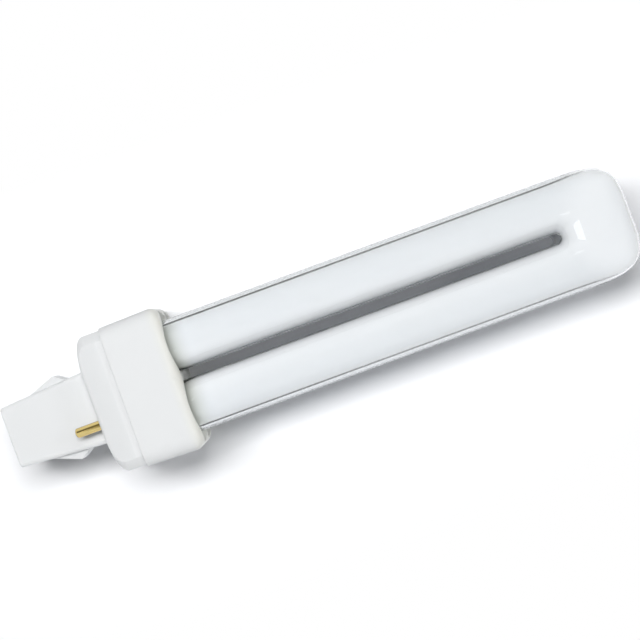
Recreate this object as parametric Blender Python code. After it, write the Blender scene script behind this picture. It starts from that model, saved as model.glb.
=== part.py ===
"""Two-pin plug-in compact lamp with a double U of coated glass tube.

The lamp lies on its side along +X. The origin is the middle of the post's
free end, the tube tips point to +X, and +Z is up. All sizes are in metres.

The post, the shoulder cap and the housing are built outward from what they
hold: the starter and its capacitor set the post, and the four tube legs set
the housing, the holes in its front and the cement plate behind them.
"""

import math

import bmesh
import bpy
from mathutils import Vector

MM = 0.001

# Clearance between pieces that seat against each other.
SEAT_GAP = 0.3 * MM

# Glass tube: four legs, joined in pairs by a squared bend at the tip.
TUBE_DIAMETER = 12.4 * MM
LEG_GAP = 2.3 * MM
EXPOSED_TUBE = 110.0 * MM
BEND_LENGTH = 16.7 * MM
BEND_SQUARENESS = 4.2
BEND_FULLNESS = 0.55
LEG_INSERTION = 10.4 * MM
PINCH_WIDTH = 9.0 * MM
PINCH_THICKNESS = 3.0 * MM
PINCH_SHOULDER = 2.6 * MM
PINCH_LENGTH = 3.2 * MM
TIP_DIAMETER = 3.2 * MM
TIP_LENGTH = 2.4 * MM
BRIDGE_DIAMETER = 6.4 * MM
BRIDGE_STANDOFF = 8.0 * MM

# Front housing: a square shell with four flared holes for the legs.
HOUSING_LENGTH = 14.4 * MM
HOUSING_MARGIN = 3.55 * MM
HOUSING_CORNER = 4.6 * MM
HOUSING_WALL = 1.6 * MM
HOUSING_DRAFT = 0.35 * MM
FRONT_WALL = 3.4 * MM
FRONT_EDGE_RUN = 2.4 * MM
FRONT_EDGE_DROP = 3.2 * MM
FLARE_WIDTH = 3.0 * MM
FLARE_DEPTH = 3.0 * MM
CEMENT_THICKNESS = 2.4 * MM

# Shoulder cap: closes the housing, carries the post and the pins.
CAP_LENGTH = 7.2 * MM
CAP_STEP = 0.5 * MM
CAP_CHAMFER = 2.3 * MM
CAP_WALL = 1.6 * MM
SHOULDER_BEVEL = 5.6 * MM
SHOULDER_FALL = 2.1 * MM
SHOULDER_ROUND = 3.0 * MM
SHOULDER_EDGE = 0.8 * MM
SPIGOT_LENGTH = 3.0 * MM
SPIGOT_WALL = 1.2 * MM

# Starter parts inside the post.
STARTER_DIAMETER = 7.4 * MM
STARTER_LENGTH = 12.0 * MM
STARTER_BEAD = 3.6 * MM
CAPACITOR_THICKNESS = 3.4 * MM
CAPACITOR_WIDTH = 6.6 * MM
CAPACITOR_LENGTH = 8.0 * MM

# Post: hollow key behind the cap, with a latch ridge on each narrow side.
POST_WALL = 1.4 * MM
POST_FLARE = 1.6 * MM
POST_CORNER = 1.2 * MM
CRADLE_HEIGHT = 2.1 * MM
CRADLE_THICKNESS = 1.2 * MM
CRADLE_INSET = 3.0 * MM
LATCH_TO_SHOULDER = 4.8 * MM
LATCH_BACK = 2.8 * MM
LATCH_RAMP = 6.5 * MM
LATCH_HEIGHT = 2.0 * MM
LATCH_WIDTH = 10.4 * MM

# Contact pins.
PIN_DIAMETER = 2.3 * MM
PIN_REACH = 6.2 * MM
PIN_BORE = 1.2 * MM
PIN_SIDE = 4.2 * MM
PIN_INSET = 5.0 * MM
PIN_FLANGE = 3.2 * MM
PIN_FLANGE_THICKNESS = 0.8 * MM
PIN_TAIL = 1.6 * MM

# Wires and what joins them.
WIRE_DIAMETER = 0.5 * MM
WIRE_BEND = 2.0 * MM
BULB_LEAD_RUN = 2.6 * MM
FERRULE_TO_SHOULDER = 1.9 * MM
PINCH_LEAD_SPACING = 3.2 * MM
STARTER_LEAD_SPACING = 1.9 * MM
CAPACITOR_LEAD_SPACING = 3.0 * MM
FERRULE_DIAMETER = 2.5 * MM
FERRULE_LENGTH = 3.2 * MM
FERRULE_SPACING = 4.2 * MM
WIRE_SPACING = 0.8 * MM
SLEEVE_WALL = 0.35 * MM

# Facets.
TUBE_SIDES = 36
BEND_STEPS = 22
HOLE_SIDES = 40
CORNER_STEPS = 5
EDGE_STEPS = 6
WIRE_SIDES = 8
WIRE_STEPS = 4
PIN_SIDES = 20

# Sizes that follow from the ones above. The post is as long as the starter
# parts inside it, and the shoulder, the housing and the tube follow it.
STARTER_X = POST_WALL + SEAT_GAP
STARTER_END_X = STARTER_X + STARTER_LENGTH
FERRULE_X = STARTER_END_X + BULB_LEAD_RUN
FERRULE_END_X = FERRULE_X + FERRULE_LENGTH
CAPACITOR_X = POST_WALL + SEAT_GAP
CAPACITOR_END_X = CAPACITOR_X + CAPACITOR_LENGTH
REAR_X = FERRULE_END_X + FERRULE_TO_SHOULDER
PARTING_X = REAR_X + CAP_LENGTH
FRONT_X = PARTING_X + HOUSING_LENGTH
TIP_X = FRONT_X + EXPOSED_TUBE

TUBE_RADIUS = TUBE_DIAMETER / 2
LEG_OFFSET = (TUBE_DIAMETER + LEG_GAP) / 2
GROUP_HALF = LEG_OFFSET + TUBE_RADIUS
BEND_X = TIP_X - BEND_LENGTH - LEG_GAP / 2
LEG_END_X = FRONT_X - LEG_INSERTION
PINCH_END_X = LEG_END_X - PINCH_SHOULDER - PINCH_LENGTH
HOLE_RADIUS = TUBE_RADIUS + SEAT_GAP

HOUSING_HALF = GROUP_HALF + HOUSING_MARGIN
CAVITY_HALF = HOUSING_HALF - HOUSING_DRAFT - HOUSING_WALL
SPIGOT_HALF = CAVITY_HALF - SEAT_GAP
CAP_INNER_HALF = SPIGOT_HALF - SPIGOT_WALL
CAP_HALF = HOUSING_HALF - HOUSING_DRAFT - CAP_STEP

POST_INNER_HALF = (STARTER_DIAMETER + CAPACITOR_THICKNESS) / 2 + 1.5 * SEAT_GAP
POST_END_HALF = POST_INNER_HALF + POST_WALL
POST_NECK_HALF = POST_END_HALF + POST_FLARE
POST_THICK_HALF = STARTER_DIAMETER / 2 + SEAT_GAP + CRADLE_HEIGHT + POST_WALL
POST_INNER_THICK = POST_THICK_HALF - POST_WALL
LATCH_END = REAR_X - LATCH_TO_SHOULDER
LATCH_APEX = LATCH_END - LATCH_BACK
LATCH_START = LATCH_APEX - LATCH_RAMP

PIN_HEIGHT = CAP_HALF - PIN_INSET
PIN_HOLE_RADIUS = PIN_DIAMETER / 2 + SEAT_GAP
PIN_INNER_X = REAR_X + CAP_WALL + SEAT_GAP
PIN_END_X = PIN_INNER_X + PIN_FLANGE_THICKNESS + PIN_TAIL

STARTER_Y = SEAT_GAP + STARTER_DIAMETER / 2 - POST_INNER_HALF
CAPACITOR_Y = POST_INNER_HALF - SEAT_GAP - CAPACITOR_THICKNESS / 2
FERRULE_BORE = WIRE_SPACING + WIRE_DIAMETER + 2 * SEAT_GAP


def clear_scene():
    """Remove every object that the file starts with."""
    for obj in list(bpy.data.objects):
        bpy.data.objects.remove(obj, do_unlink=True)


def make_material(name, colour, roughness, metallic=0.0):
    """Return a Principled material of one colour."""
    material = bpy.data.materials.new(name)
    material.use_nodes = True
    shader = material.node_tree.nodes["Principled BSDF"]
    shader.inputs["Base Color"].default_value = (*colour, 1.0)
    shader.inputs["Roughness"].default_value = roughness
    shader.inputs["Metallic"].default_value = metallic
    material.diffuse_color = (*colour, 1.0)
    return material


def add_object(name, points, faces, material=None, sharp_angle=35.0):
    """Make an object of the given points and faces, with its faces outward."""
    mesh = bpy.data.meshes.new(name)
    mesh.from_pydata([tuple(point) for point in points], [], faces)
    shape = bmesh.new()
    shape.from_mesh(mesh)
    bmesh.ops.recalc_face_normals(shape, faces=shape.faces)
    shape.to_mesh(mesh)
    shape.free()
    mesh.shade_smooth()
    mesh.set_sharp_from_angle(angle=math.radians(sharp_angle))
    if material:
        mesh.materials.append(material)
    obj = bpy.data.objects.new(name, mesh)
    bpy.context.scene.collection.objects.link(obj)
    return obj


def loft(name, rings, material=None, sharp_angle=35.0):
    """Skin a closed solid over rings of equal length, capped at both ends."""
    count = len(rings[0])
    points = [point for ring in rings for point in ring]
    faces = []
    for row in range(len(rings) - 1):
        low = row * count
        for i in range(count):
            j = (i + 1) % count
            faces.append((low + i, low + j, low + count + j, low + count + i))
    last = (len(rings) - 1) * count
    faces.append(tuple(reversed(range(count))))
    faces.append(tuple(range(last, last + count)))
    return add_object(name, points, faces, material, sharp_angle)


def square_ring(x, half_y, half_z, corner, steps=CORNER_STEPS):
    """Return a rounded rectangle across X. One step makes a plain chamfer."""
    ring = []
    for quarter in range(4):
        side_y = (1, -1, -1, 1)[quarter]
        side_z = (1, 1, -1, -1)[quarter]
        for step in range(steps + 1):
            angle = (quarter + step / steps) * math.pi / 2
            y = side_y * (half_y - corner) + corner * math.cos(angle)
            z = side_z * (half_z - corner) + corner * math.sin(angle)
            ring.append(Vector((x, y, z)))
    return ring


def round_ring(x, y, z, radius, sides):
    """Return a circle across X about the point (x, y, z)."""
    ring = []
    for i in range(sides):
        angle = 2 * math.pi * i / sides
        offset = Vector((0, math.cos(angle), math.sin(angle)))
        ring.append(Vector((x, y, z)) + radius * offset)
    return ring


def turned(name, y, z, profile, sides, material=None):
    """Skin a turned solid about a line along X from (x, radius) pairs."""
    rings = [round_ring(x, y, z, radius, sides) for x, radius in profile]
    return loft(name, rings, material)


def combine(target, other, operation):
    """Apply a Boolean to the target and leave the other out of the model."""
    modifier = target.modifiers.new(operation.title(), "BOOLEAN")
    modifier.operation = operation
    modifier.solver = "EXACT"
    modifier.object = other
    other.hide_render = True
    other.display_type = "WIRE"


def join(target, other):
    """Fuse another solid to the target."""
    combine(target, other, "UNION")


def cut(target, other):
    """Cut another solid out of the target."""
    combine(target, other, "DIFFERENCE")


def power(value, exponent):
    """Raise the size of a value to a power and keep its sign."""
    return math.copysign(abs(value) ** exponent, value)


def smooth_route(corners):
    """Round each inner corner of a route with a bend that meets its sides."""
    route = [corners[0]]
    for before, corner, after in zip(corners, corners[1:], corners[2:]):
        back, ahead = before - corner, after - corner
        reach = min(WIRE_BEND, 0.45 * back.length, 0.45 * ahead.length)
        start = corner + reach * back.normalized()
        end = corner + reach * ahead.normalized()
        for step in range(WIRE_STEPS + 1):
            t = step / WIRE_STEPS
            route.append((1 - t) ** 2 * start + 2 * t * (1 - t) * corner + t * t * end)
    route.append(corners[-1])
    return route


def sweep_rings(route, radius, sides):
    """Return a circle at each point of a route, turned as little as can be."""
    rings = []
    side = None
    for i, point in enumerate(route):
        ahead = route[min(i + 1, len(route) - 1)] - route[max(i - 1, 0)]
        ahead.normalize()
        if side is None:
            side = ahead.orthogonal()
        side = (side - side.dot(ahead) * ahead).normalized()
        other = ahead.cross(side)
        ring = []
        for k in range(sides):
            angle = 2 * math.pi * k / sides
            offset = math.cos(angle) * side + math.sin(angle) * other
            ring.append(point + radius * offset)
        rings.append(ring)
    return rings


def wire(name, corners, material):
    """Make a round wire along a smooth route."""
    rings = sweep_rings(smooth_route(corners), WIRE_DIAMETER / 2, WIRE_SIDES)
    return loft(name, rings, material, 60.0)


def sleeve(name, route, inner, wall, material):
    """Make an open-ended sleeve along a route of points."""
    sides = WIRE_SIDES + 2
    rings = sweep_rings(route, inner + wall, sides)
    rings += list(reversed(sweep_rings(route, inner, sides)))
    points = [point for ring in rings for point in ring]
    faces = []
    for row in range(len(rings)):
        low = row * sides
        high = ((row + 1) % len(rings)) * sides
        for i in range(sides):
            j = (i + 1) % sides
            faces.append((low + i, low + j, high + j, high + i))
    return add_object(name, points, faces, material, 60.0)


def bend_reach(angle):
    """Distance from the bend's centre to its outer outline at an angle.

    The outline is a superellipse with the bend's length and the width of a
    pair of legs, which gives the flat end and the full rounded corners.
    """
    length = TIP_X - BEND_X
    across = abs(math.sin(angle)) / GROUP_HALF
    along = abs(math.cos(angle)) / length
    total = across ** BEND_SQUARENESS + along ** BEND_SQUARENESS
    return total ** (-1 / BEND_SQUARENESS)


def tube_section(centre, outward, half_width, half_height, roundness=2.0):
    """Return a superellipse of the tube, wide along outward and high in Z."""
    ring = []
    for i in range(TUBE_SIDES):
        angle = 2 * math.pi * i / TUBE_SIDES
        across = half_width * power(math.cos(angle), 2 / roundness)
        height = half_height * power(math.sin(angle), 2 / roundness)
        ring.append(centre + across * outward + height * Vector((0, 0, 1)))
    return ring


def bend_section(angle, z):
    """Return the tube's section where the bend points at an angle."""
    outward = Vector((math.cos(angle), math.sin(angle), 0))
    inner = LEG_GAP / 2
    outer = bend_reach(angle)
    centre = Vector((BEND_X, 0, z)) + (inner + outer) / 2 * outward
    roundness = 2 + BEND_FULLNESS * math.cos(angle) ** 2
    return tube_section(centre, outward, (outer - inner) / 2, TUBE_RADIUS, roundness)


def pinched_end(z):
    """Return the sections of the sealed, flattened end of an electrode leg."""
    outward = Vector((0, -1, 0))
    sections = []
    ends = ((PINCH_END_X, 0.0), (LEG_END_X - PINCH_SHOULDER, 0.0))
    steps = [(LEG_END_X - PINCH_SHOULDER * (1 - t), t) for t in (0.3, 0.65, 1.0)]
    for x, t in (*ends, *steps):
        blend = math.sin(t * math.pi / 2)
        width = (PINCH_WIDTH + blend * (TUBE_DIAMETER - PINCH_WIDTH)) / 2
        height = (PINCH_THICKNESS + blend * (TUBE_DIAMETER - PINCH_THICKNESS)) / 2
        roundness = 4.0 - 2.0 * blend
        centre = Vector((x, -LEG_OFFSET, z))
        sections.append(tube_section(centre, outward, width, height, roundness))
    return sections


def domed_end(z):
    """Return the sections of a closed leg's rounded end and its seal tip."""
    outward = Vector((0, 1, 0))
    dome = 0.55 * TUBE_RADIUS
    sizes = []
    for angle in (0, 25, 48, 68):
        turn = math.radians(angle)
        sizes.append((LEG_END_X - dome * math.sin(turn), TUBE_RADIUS * math.cos(turn)))
    tip = TIP_DIAMETER / 2
    sizes.append((LEG_END_X - dome, tip * 1.1))
    sizes.append((LEG_END_X - dome - 0.7 * TIP_LENGTH, tip))
    sizes.append((LEG_END_X - dome - TIP_LENGTH, 0.5 * tip))
    sections = []
    for x, radius in sizes:
        centre = Vector((x, LEG_OFFSET, z))
        sections.append(tube_section(centre, outward, radius, radius))
    return sections


def u_tube(name, z, material):
    """Make one U of tube: an electrode leg, the bend and a closed leg."""
    rings = pinched_end(z)
    for step in range(BEND_STEPS + 1):
        angle = math.pi * (step / BEND_STEPS - 0.5)
        rings.append(bend_section(angle, z))
    rings += domed_end(z)
    return loft(name, rings, material, 50.0)


def make_discharge_tube(material):
    """Fuse two U tubes with the short bridge between their closed legs."""
    tube = u_tube("discharge_tube", LEG_OFFSET, material)
    join(tube, u_tube("back_u", -LEG_OFFSET, material))
    x = FRONT_X + BRIDGE_STANDOFF
    rings = []
    for z in (-LEG_OFFSET, LEG_OFFSET):
        ring = []
        for i in range(PIN_SIDES):
            angle = 2 * math.pi * i / PIN_SIDES
            offset = BRIDGE_DIAMETER / 2 * Vector((math.cos(angle), math.sin(angle), 0))
            ring.append(Vector((x, LEG_OFFSET, z)) + offset)
        rings.append(ring)
    join(tube, loft("bridge", rings, material))
    return tube


def housing_outline():
    """Return the housing's outer rings, from the parting line to the front."""
    side = HOUSING_HALF - HOUSING_DRAFT
    rings = [square_ring(PARTING_X, side, side, HOUSING_CORNER)]
    for step in range(EDGE_STEPS + 1):
        turn = step / EDGE_STEPS * math.pi / 2
        x = FRONT_X - FRONT_EDGE_RUN * (1 - math.sin(turn))
        inset = FRONT_EDGE_DROP * (1 - math.cos(turn))
        half = HOUSING_HALF - inset
        rings.append(square_ring(x, half, half, HOUSING_CORNER - inset))
    return rings


def leg_places():
    """Return the (y, z) place of each of the four legs."""
    return [(sy * LEG_OFFSET, sz * LEG_OFFSET) for sy in (-1, 1) for sz in (-1, 1)]


def make_front_housing(material):
    """Make the square shell with its cavity and four flared leg holes."""
    housing = loft("front_housing", housing_outline(), material)
    corner = HOUSING_CORNER - HOUSING_WALL
    cavity_end = FRONT_X - FRONT_WALL
    cavity = [
        square_ring(PARTING_X - MM, CAVITY_HALF, CAVITY_HALF, corner),
        square_ring(cavity_end, CAVITY_HALF, CAVITY_HALF, corner),
    ]
    cut(housing, loft("housing_cavity", cavity))
    beyond = MM
    wide = HOLE_RADIUS + FLARE_WIDTH * (1 + beyond / FLARE_DEPTH)
    profile = [
        (cavity_end - MM, HOLE_RADIUS),
        (FRONT_X - FLARE_DEPTH, HOLE_RADIUS),
        (FRONT_X + beyond, wide),
    ]
    for index, (y, z) in enumerate(leg_places()):
        cut(housing, turned(f"leg_hole_{index}", y, z, profile, HOLE_SIDES))
    return housing


def make_tube_cement(material):
    """Make the cement plate that holds the legs behind the front wall."""
    half = CAVITY_HALF - SEAT_GAP
    corner = HOUSING_CORNER - HOUSING_WALL - SEAT_GAP
    front = FRONT_X - FRONT_WALL - SEAT_GAP
    back = front - CEMENT_THICKNESS
    rings = [square_ring(x, half, half, corner) for x in (back, front)]
    cement = loft("tube_cement", rings, material)
    profile = [(back - MM, HOLE_RADIUS), (front + MM, HOLE_RADIUS)]
    for index, (y, z) in enumerate(leg_places()):
        cut(cement, turned(f"cement_hole_{index}", y, z, profile, HOLE_SIDES))
    return cement


def shoulder_half_y(x):
    """Half width of the cap: an elliptic round from the post to its side."""
    t = min((x - REAR_X) / SHOULDER_ROUND, 1.0)
    reach = CAP_HALF - POST_NECK_HALF
    return POST_NECK_HALF + reach * math.sqrt(1 - (1 - t) ** 2)


def shoulder_half_z(x):
    """Half height of the cap: a small edge, then a long plain bevel."""
    edge = min((x - REAR_X) / SHOULDER_EDGE, 1.0)
    slope = min((x - REAR_X) / SHOULDER_BEVEL, 1.0)
    round_off = SHOULDER_EDGE * (1 - math.sqrt(1 - (1 - edge) ** 2))
    return CAP_HALF - SHOULDER_FALL * (1 - slope) - round_off


def cap_outline():
    """Return the cap's outer rings, from the rear face to the parting line."""
    stations = [0.0, 0.03, 0.1, 0.25, 0.45, 0.7, 1.0]
    places = [REAR_X + t * SHOULDER_ROUND for t in stations]
    places += [REAR_X + SHOULDER_BEVEL, PARTING_X - SEAT_GAP]
    rings = []
    for x in places:
        half_y = shoulder_half_y(x)
        half_z = shoulder_half_z(x)
        rings.append(square_ring(x, half_y, half_z, CAP_CHAMFER, 1))
    return rings


def post_rings(end_half, neck_half, thick_half, corner, start, end):
    """Return the rings of a tapered block behind the cap."""
    rings = []
    for x in (start, end):
        t = x / REAR_X
        half = end_half + t * (neck_half - end_half)
        rings.append(square_ring(x, half, thick_half, corner, 3))
    return rings


def latch_ridge(name, side):
    """Make the latch ridge of one narrow side of the post."""
    def face(x):
        return POST_END_HALF + POST_FLARE * x / REAR_X

    root = face(LATCH_START) - POST_WALL / 2
    outline = [
        (LATCH_START, root),
        (LATCH_START, face(LATCH_START)),
        (LATCH_APEX, face(LATCH_APEX) + LATCH_HEIGHT),
        (LATCH_END, face(LATCH_END)),
        (LATCH_END, root),
    ]
    rings = []
    for z in (-LATCH_WIDTH / 2, LATCH_WIDTH / 2):
        rings.append([Vector((x, side * y, z)) for x, y in outline])
    return loft(name, rings)


def cradle_rib(name, x, side):
    """Make a rib on the post's inner wall that steadies the starter."""
    inner = STARTER_DIAMETER / 2 + SEAT_GAP
    outer = POST_INNER_THICK + POST_WALL / 2
    half = CRADLE_THICKNESS / 2
    wide = STARTER_DIAMETER / 4
    ring = []
    for dx, dy in ((-half, -wide), (half, -wide), (half, wide), (-half, wide)):
        ring.append((x + dx, STARTER_Y + dy))
    rings = [[Vector((px, py, side * z)) for px, py in ring] for z in (inner, outer)]
    return loft(name, rings)


def make_base_cap(material):
    """Make the shoulder cap with its spigot, hollow post, latches and holes."""
    cap = loft("base_cap", cap_outline(), material)
    corner = HOUSING_CORNER - HOUSING_WALL - SEAT_GAP
    spigot = [
        square_ring(PARTING_X - 2 * SEAT_GAP, SPIGOT_HALF, SPIGOT_HALF, corner),
        square_ring(PARTING_X + SPIGOT_LENGTH, SPIGOT_HALF, SPIGOT_HALF, corner),
    ]
    join(cap, loft("spigot", spigot))
    overlap = CAP_WALL / 2
    post = post_rings(
        POST_END_HALF, POST_NECK_HALF, POST_THICK_HALF, POST_CORNER, 0.0, REAR_X + overlap
    )
    join(cap, loft("post", post))
    for side in (-1, 1):
        join(cap, latch_ridge(f"latch_{side + 1}", side))

    rear = REAR_X + CAP_WALL
    inner_y = CAP_INNER_HALF
    inner_z = min(shoulder_half_z(rear) - CAP_WALL, CAP_INNER_HALF)
    cavity = [
        square_ring(rear, inner_y - CAP_WALL, inner_z, corner),
        square_ring(REAR_X + SHOULDER_ROUND + CAP_WALL, inner_y, CAP_INNER_HALF, corner),
        square_ring(PARTING_X + SPIGOT_LENGTH + MM, inner_y, CAP_INNER_HALF, corner),
    ]
    cut(cap, loft("cap_cavity", cavity))
    hollow = post_rings(
        POST_INNER_HALF,
        POST_NECK_HALF - POST_WALL,
        POST_INNER_THICK,
        POST_CORNER / 2,
        POST_WALL,
        rear + MM,
    )
    cut(cap, loft("post_cavity", hollow))
    for index, x in enumerate((STARTER_X + CRADLE_INSET, STARTER_END_X - CRADLE_INSET)):
        for side in (-1, 1):
            join(cap, cradle_rib(f"cradle_{index}_{side + 1}", x, side))
    for index, (y, z) in enumerate(pin_places()):
        profile = [(REAR_X - MM, PIN_HOLE_RADIUS), (rear + MM, PIN_HOLE_RADIUS)]
        cut(cap, turned(f"pin_hole_{index}", y, z, profile, PIN_SIDES))
    return cap


def pin_places():
    """Return the (y, z) place of each pin, one on each broad side."""
    return [(-PIN_SIDE, PIN_HEIGHT), (PIN_SIDE, -PIN_HEIGHT)]


def make_contact_pin(name, y, z, material):
    """Turn one hollow pin with a rounded nose and a flange inside the cap."""
    radius = PIN_DIAMETER / 2
    bore = PIN_BORE / 2
    nose = REAR_X - PIN_REACH
    flange_end = PIN_INNER_X + PIN_FLANGE_THICKNESS
    profile = []
    for angle in (20, 45, 70, 90):
        turn = math.radians(angle)
        profile.append((nose + 0.6 * radius * (1 - math.cos(turn)), radius * math.sin(turn)))
    profile += [
        (PIN_INNER_X, radius),
        (PIN_INNER_X, PIN_FLANGE / 2),
        (flange_end, PIN_FLANGE / 2),
        (flange_end, radius),
        (PIN_END_X, radius),
    ]
    pin = turned(name, y, z, profile, PIN_SIDES, material)
    depth = [(nose + PIN_DIAMETER, bore), (PIN_END_X + MM, bore)]
    cut(pin, turned(f"{name}_bore", y, z, depth, PIN_SIDES))
    return pin


def make_starter_bulb(material):
    """Turn the sealed glass starter bulb with its rounded end and bead."""
    radius = STARTER_DIAMETER / 2
    profile = []
    for angle in (12, 35, 60, 90):
        turn = math.radians(angle)
        profile.append((STARTER_X + radius * (1 - math.cos(turn)), radius * math.sin(turn)))
    neck = STARTER_END_X - radius
    profile += [
        (neck, radius),
        (neck + 0.4 * radius, 0.86 * radius),
        (neck + 0.6 * radius, STARTER_BEAD / 2),
        (STARTER_END_X, STARTER_BEAD / 2),
    ]
    return turned("starter_bulb", STARTER_Y, 0.0, profile, 24, material)


def make_capacitor(material):
    """Make the dipped film capacitor beside the starter."""
    rings = []
    half_y = CAPACITOR_THICKNESS / 2
    half_z = CAPACITOR_WIDTH / 2
    corner = 0.3 * CAPACITOR_THICKNESS
    for x, inset in (
        (CAPACITOR_X, 0.5 * corner),
        (CAPACITOR_X + 0.5 * corner, 0.0),
        (CAPACITOR_END_X - 0.5 * corner, 0.0),
        (CAPACITOR_END_X, 0.5 * corner),
    ):
        ring = square_ring(x, half_y - inset, half_z - inset, corner, 3)
        rings.append([point + Vector((0, CAPACITOR_Y, 0)) for point in ring])
    return loft("filter_capacitor", rings, material)


def ferrule_place(side):
    """Return the (y, z) place of the crimp ferrule on one side."""
    return STARTER_Y, side * FERRULE_SPACING / 2


def make_ferrule(name, side, material):
    """Make the crimp ferrule that joins three wire ends."""
    y, z = ferrule_place(side)
    radius = FERRULE_DIAMETER / 2
    ferrule = turned(
        name, y, z, [(FERRULE_X, radius), (FERRULE_END_X, radius)], PIN_SIDES, material
    )
    bore = [(FERRULE_X - MM, FERRULE_BORE / 2), (FERRULE_END_X + MM, FERRULE_BORE / 2)]
    cut(ferrule, turned(f"{name}_bore", y, z, bore, PIN_SIDES))
    return ferrule


def pinch_lead_start(side, place):
    """Return where a lead leaves a pinch seal, on its outer or inner side."""
    y = -LEG_OFFSET + place * PINCH_LEAD_SPACING / 2
    return Vector((PINCH_END_X - SEAT_GAP, y, side * LEG_OFFSET))


def make_pin_lead(name, side, material):
    """Run the lead from an electrode into the bore of its pin."""
    start = pinch_lead_start(side, 1)
    y, z = pin_places()[0 if side > 0 else 1]
    mouth = PIN_END_X + 2 * SEAT_GAP
    corners = [
        start,
        Vector((start.x - 2 * SEAT_GAP, start.y, start.z)),
        Vector((mouth, y, z)),
        Vector((PIN_INNER_X, y, z)),
    ]
    return wire(name, corners, material)


def starter_lead_route(side):
    """Return the corners of the lead from an electrode to its ferrule."""
    start = pinch_lead_start(side, -1)
    y, z = ferrule_place(side)
    middle = FERRULE_X + FERRULE_LENGTH / 2
    return [
        start,
        Vector((start.x - 2 * SEAT_GAP, start.y, start.z)),
        Vector(((start.x + FERRULE_END_X) / 2, (start.y + y) / 2, (start.z + z) / 2)),
        Vector((FERRULE_END_X + 2 * SEAT_GAP, y, z)),
        Vector((middle + SEAT_GAP, y, z)),
    ]


def make_lead_sleeve(name, side, material):
    """Cover the free length of an electrode's starter lead."""
    route = smooth_route(starter_lead_route(side))
    covered = route[1 + WIRE_STEPS:-(1 + WIRE_STEPS)]
    return sleeve(name, covered, WIRE_DIAMETER / 2 + SEAT_GAP, SLEEVE_WALL, material)


def make_bulb_lead(name, side, material):
    """Run a lead from the starter bulb into its ferrule."""
    y, z = ferrule_place(side)
    start = Vector((STARTER_END_X + SEAT_GAP, STARTER_Y, side * STARTER_LEAD_SPACING / 2))
    inside = y - WIRE_SPACING / 2
    corners = [
        start,
        Vector((start.x + 2 * SEAT_GAP, start.y, start.z)),
        Vector((FERRULE_X - 2 * SEAT_GAP, inside, z)),
        Vector((FERRULE_X + FERRULE_LENGTH / 2 - SEAT_GAP, inside, z)),
    ]
    return wire(name, corners, material)


def make_capacitor_lead(name, side, material):
    """Run a lead from the capacitor past the starter into a ferrule."""
    y, z = ferrule_place(side)
    half = CAPACITOR_LEAD_SPACING / 2
    start = Vector((CAPACITOR_END_X + SEAT_GAP, CAPACITOR_Y, side * half))
    inside = y + WIRE_SPACING / 2
    over = z + side * (WIRE_DIAMETER / 2 + SEAT_GAP + WIRE_DIAMETER)
    corners = [
        start,
        Vector((start.x + 2 * SEAT_GAP, start.y, start.z)),
        Vector((STARTER_END_X, CAPACITOR_Y, over)),
        Vector((STARTER_END_X + 4 * SEAT_GAP, STARTER_Y + STARTER_DIAMETER / 4, over)),
        Vector((FERRULE_X - 2 * SEAT_GAP, inside, z)),
        Vector((FERRULE_X + FERRULE_LENGTH / 2 - SEAT_GAP, inside, z)),
    ]
    return wire(name, corners, material)


def main():
    """Build every piece of the lamp."""
    clear_scene()
    glass = make_material("coated_glass", (0.86, 0.88, 0.91), 0.12)
    plastic = make_material("white_plastic", (0.86, 0.86, 0.84), 0.38)
    brass = make_material("brass", (0.83, 0.66, 0.27), 0.22, 1.0)
    clear_glass = make_material("starter_glass", (0.72, 0.78, 0.78), 0.08)
    film = make_material("capacitor_coating", (0.48, 0.20, 0.08), 0.35)
    nickel = make_material("nickel_wire", (0.62, 0.60, 0.56), 0.3, 1.0)
    fibre = make_material("sleeve_fibre", (0.88, 0.86, 0.78), 0.8)
    mastic = make_material("tube_cement", (0.78, 0.76, 0.70), 0.9)

    make_discharge_tube(glass)
    make_front_housing(plastic)
    make_tube_cement(mastic)
    make_base_cap(plastic)
    for name, (y, z) in zip(("contact_pin_a", "contact_pin_b"), pin_places()):
        make_contact_pin(name, y, z, brass)
    make_starter_bulb(clear_glass)
    make_capacitor(film)
    for mark, side in (("a", 1), ("b", -1)):
        make_pin_lead(f"pin_lead_{mark}", side, nickel)
        wire(f"starter_lead_{mark}", starter_lead_route(side), nickel)
        make_lead_sleeve(f"lead_sleeve_{mark}", side, fibre)
        make_ferrule(f"crimp_ferrule_{mark}", side, brass)
        make_bulb_lead(f"bulb_lead_{mark}", side, nickel)
        make_capacitor_lead(f"capacitor_lead_{mark}", side, nickel)


main()
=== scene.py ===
"""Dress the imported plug-in lamp: coated glass tubes, moulded housing, cap and pins.

The frame lies along +X with the post's free end at the origin and the tube
tips at +X. Sizes in the classes are in metres, in the same frame as the CAD.
"""

import logging
import math
from dataclasses import dataclass, field
from enum import Enum
from typing import Optional, Sequence

import bmesh
import bpy
import numpy as np
from mathutils import Matrix, Vector


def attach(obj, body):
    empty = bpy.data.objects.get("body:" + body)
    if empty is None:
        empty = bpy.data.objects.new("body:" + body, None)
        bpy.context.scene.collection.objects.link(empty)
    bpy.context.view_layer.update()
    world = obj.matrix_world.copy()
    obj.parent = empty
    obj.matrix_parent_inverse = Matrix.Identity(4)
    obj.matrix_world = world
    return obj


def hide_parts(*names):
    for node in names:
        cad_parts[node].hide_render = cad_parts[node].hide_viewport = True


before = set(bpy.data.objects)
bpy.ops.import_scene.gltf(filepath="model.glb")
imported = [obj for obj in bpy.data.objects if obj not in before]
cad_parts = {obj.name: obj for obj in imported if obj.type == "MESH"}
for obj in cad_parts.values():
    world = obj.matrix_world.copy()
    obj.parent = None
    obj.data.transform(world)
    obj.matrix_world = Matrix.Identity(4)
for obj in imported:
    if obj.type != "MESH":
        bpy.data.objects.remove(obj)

log = logging.getLogger("plug_in_lamp")

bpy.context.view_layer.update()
MM = 0.001
ROOT = "root"

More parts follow.
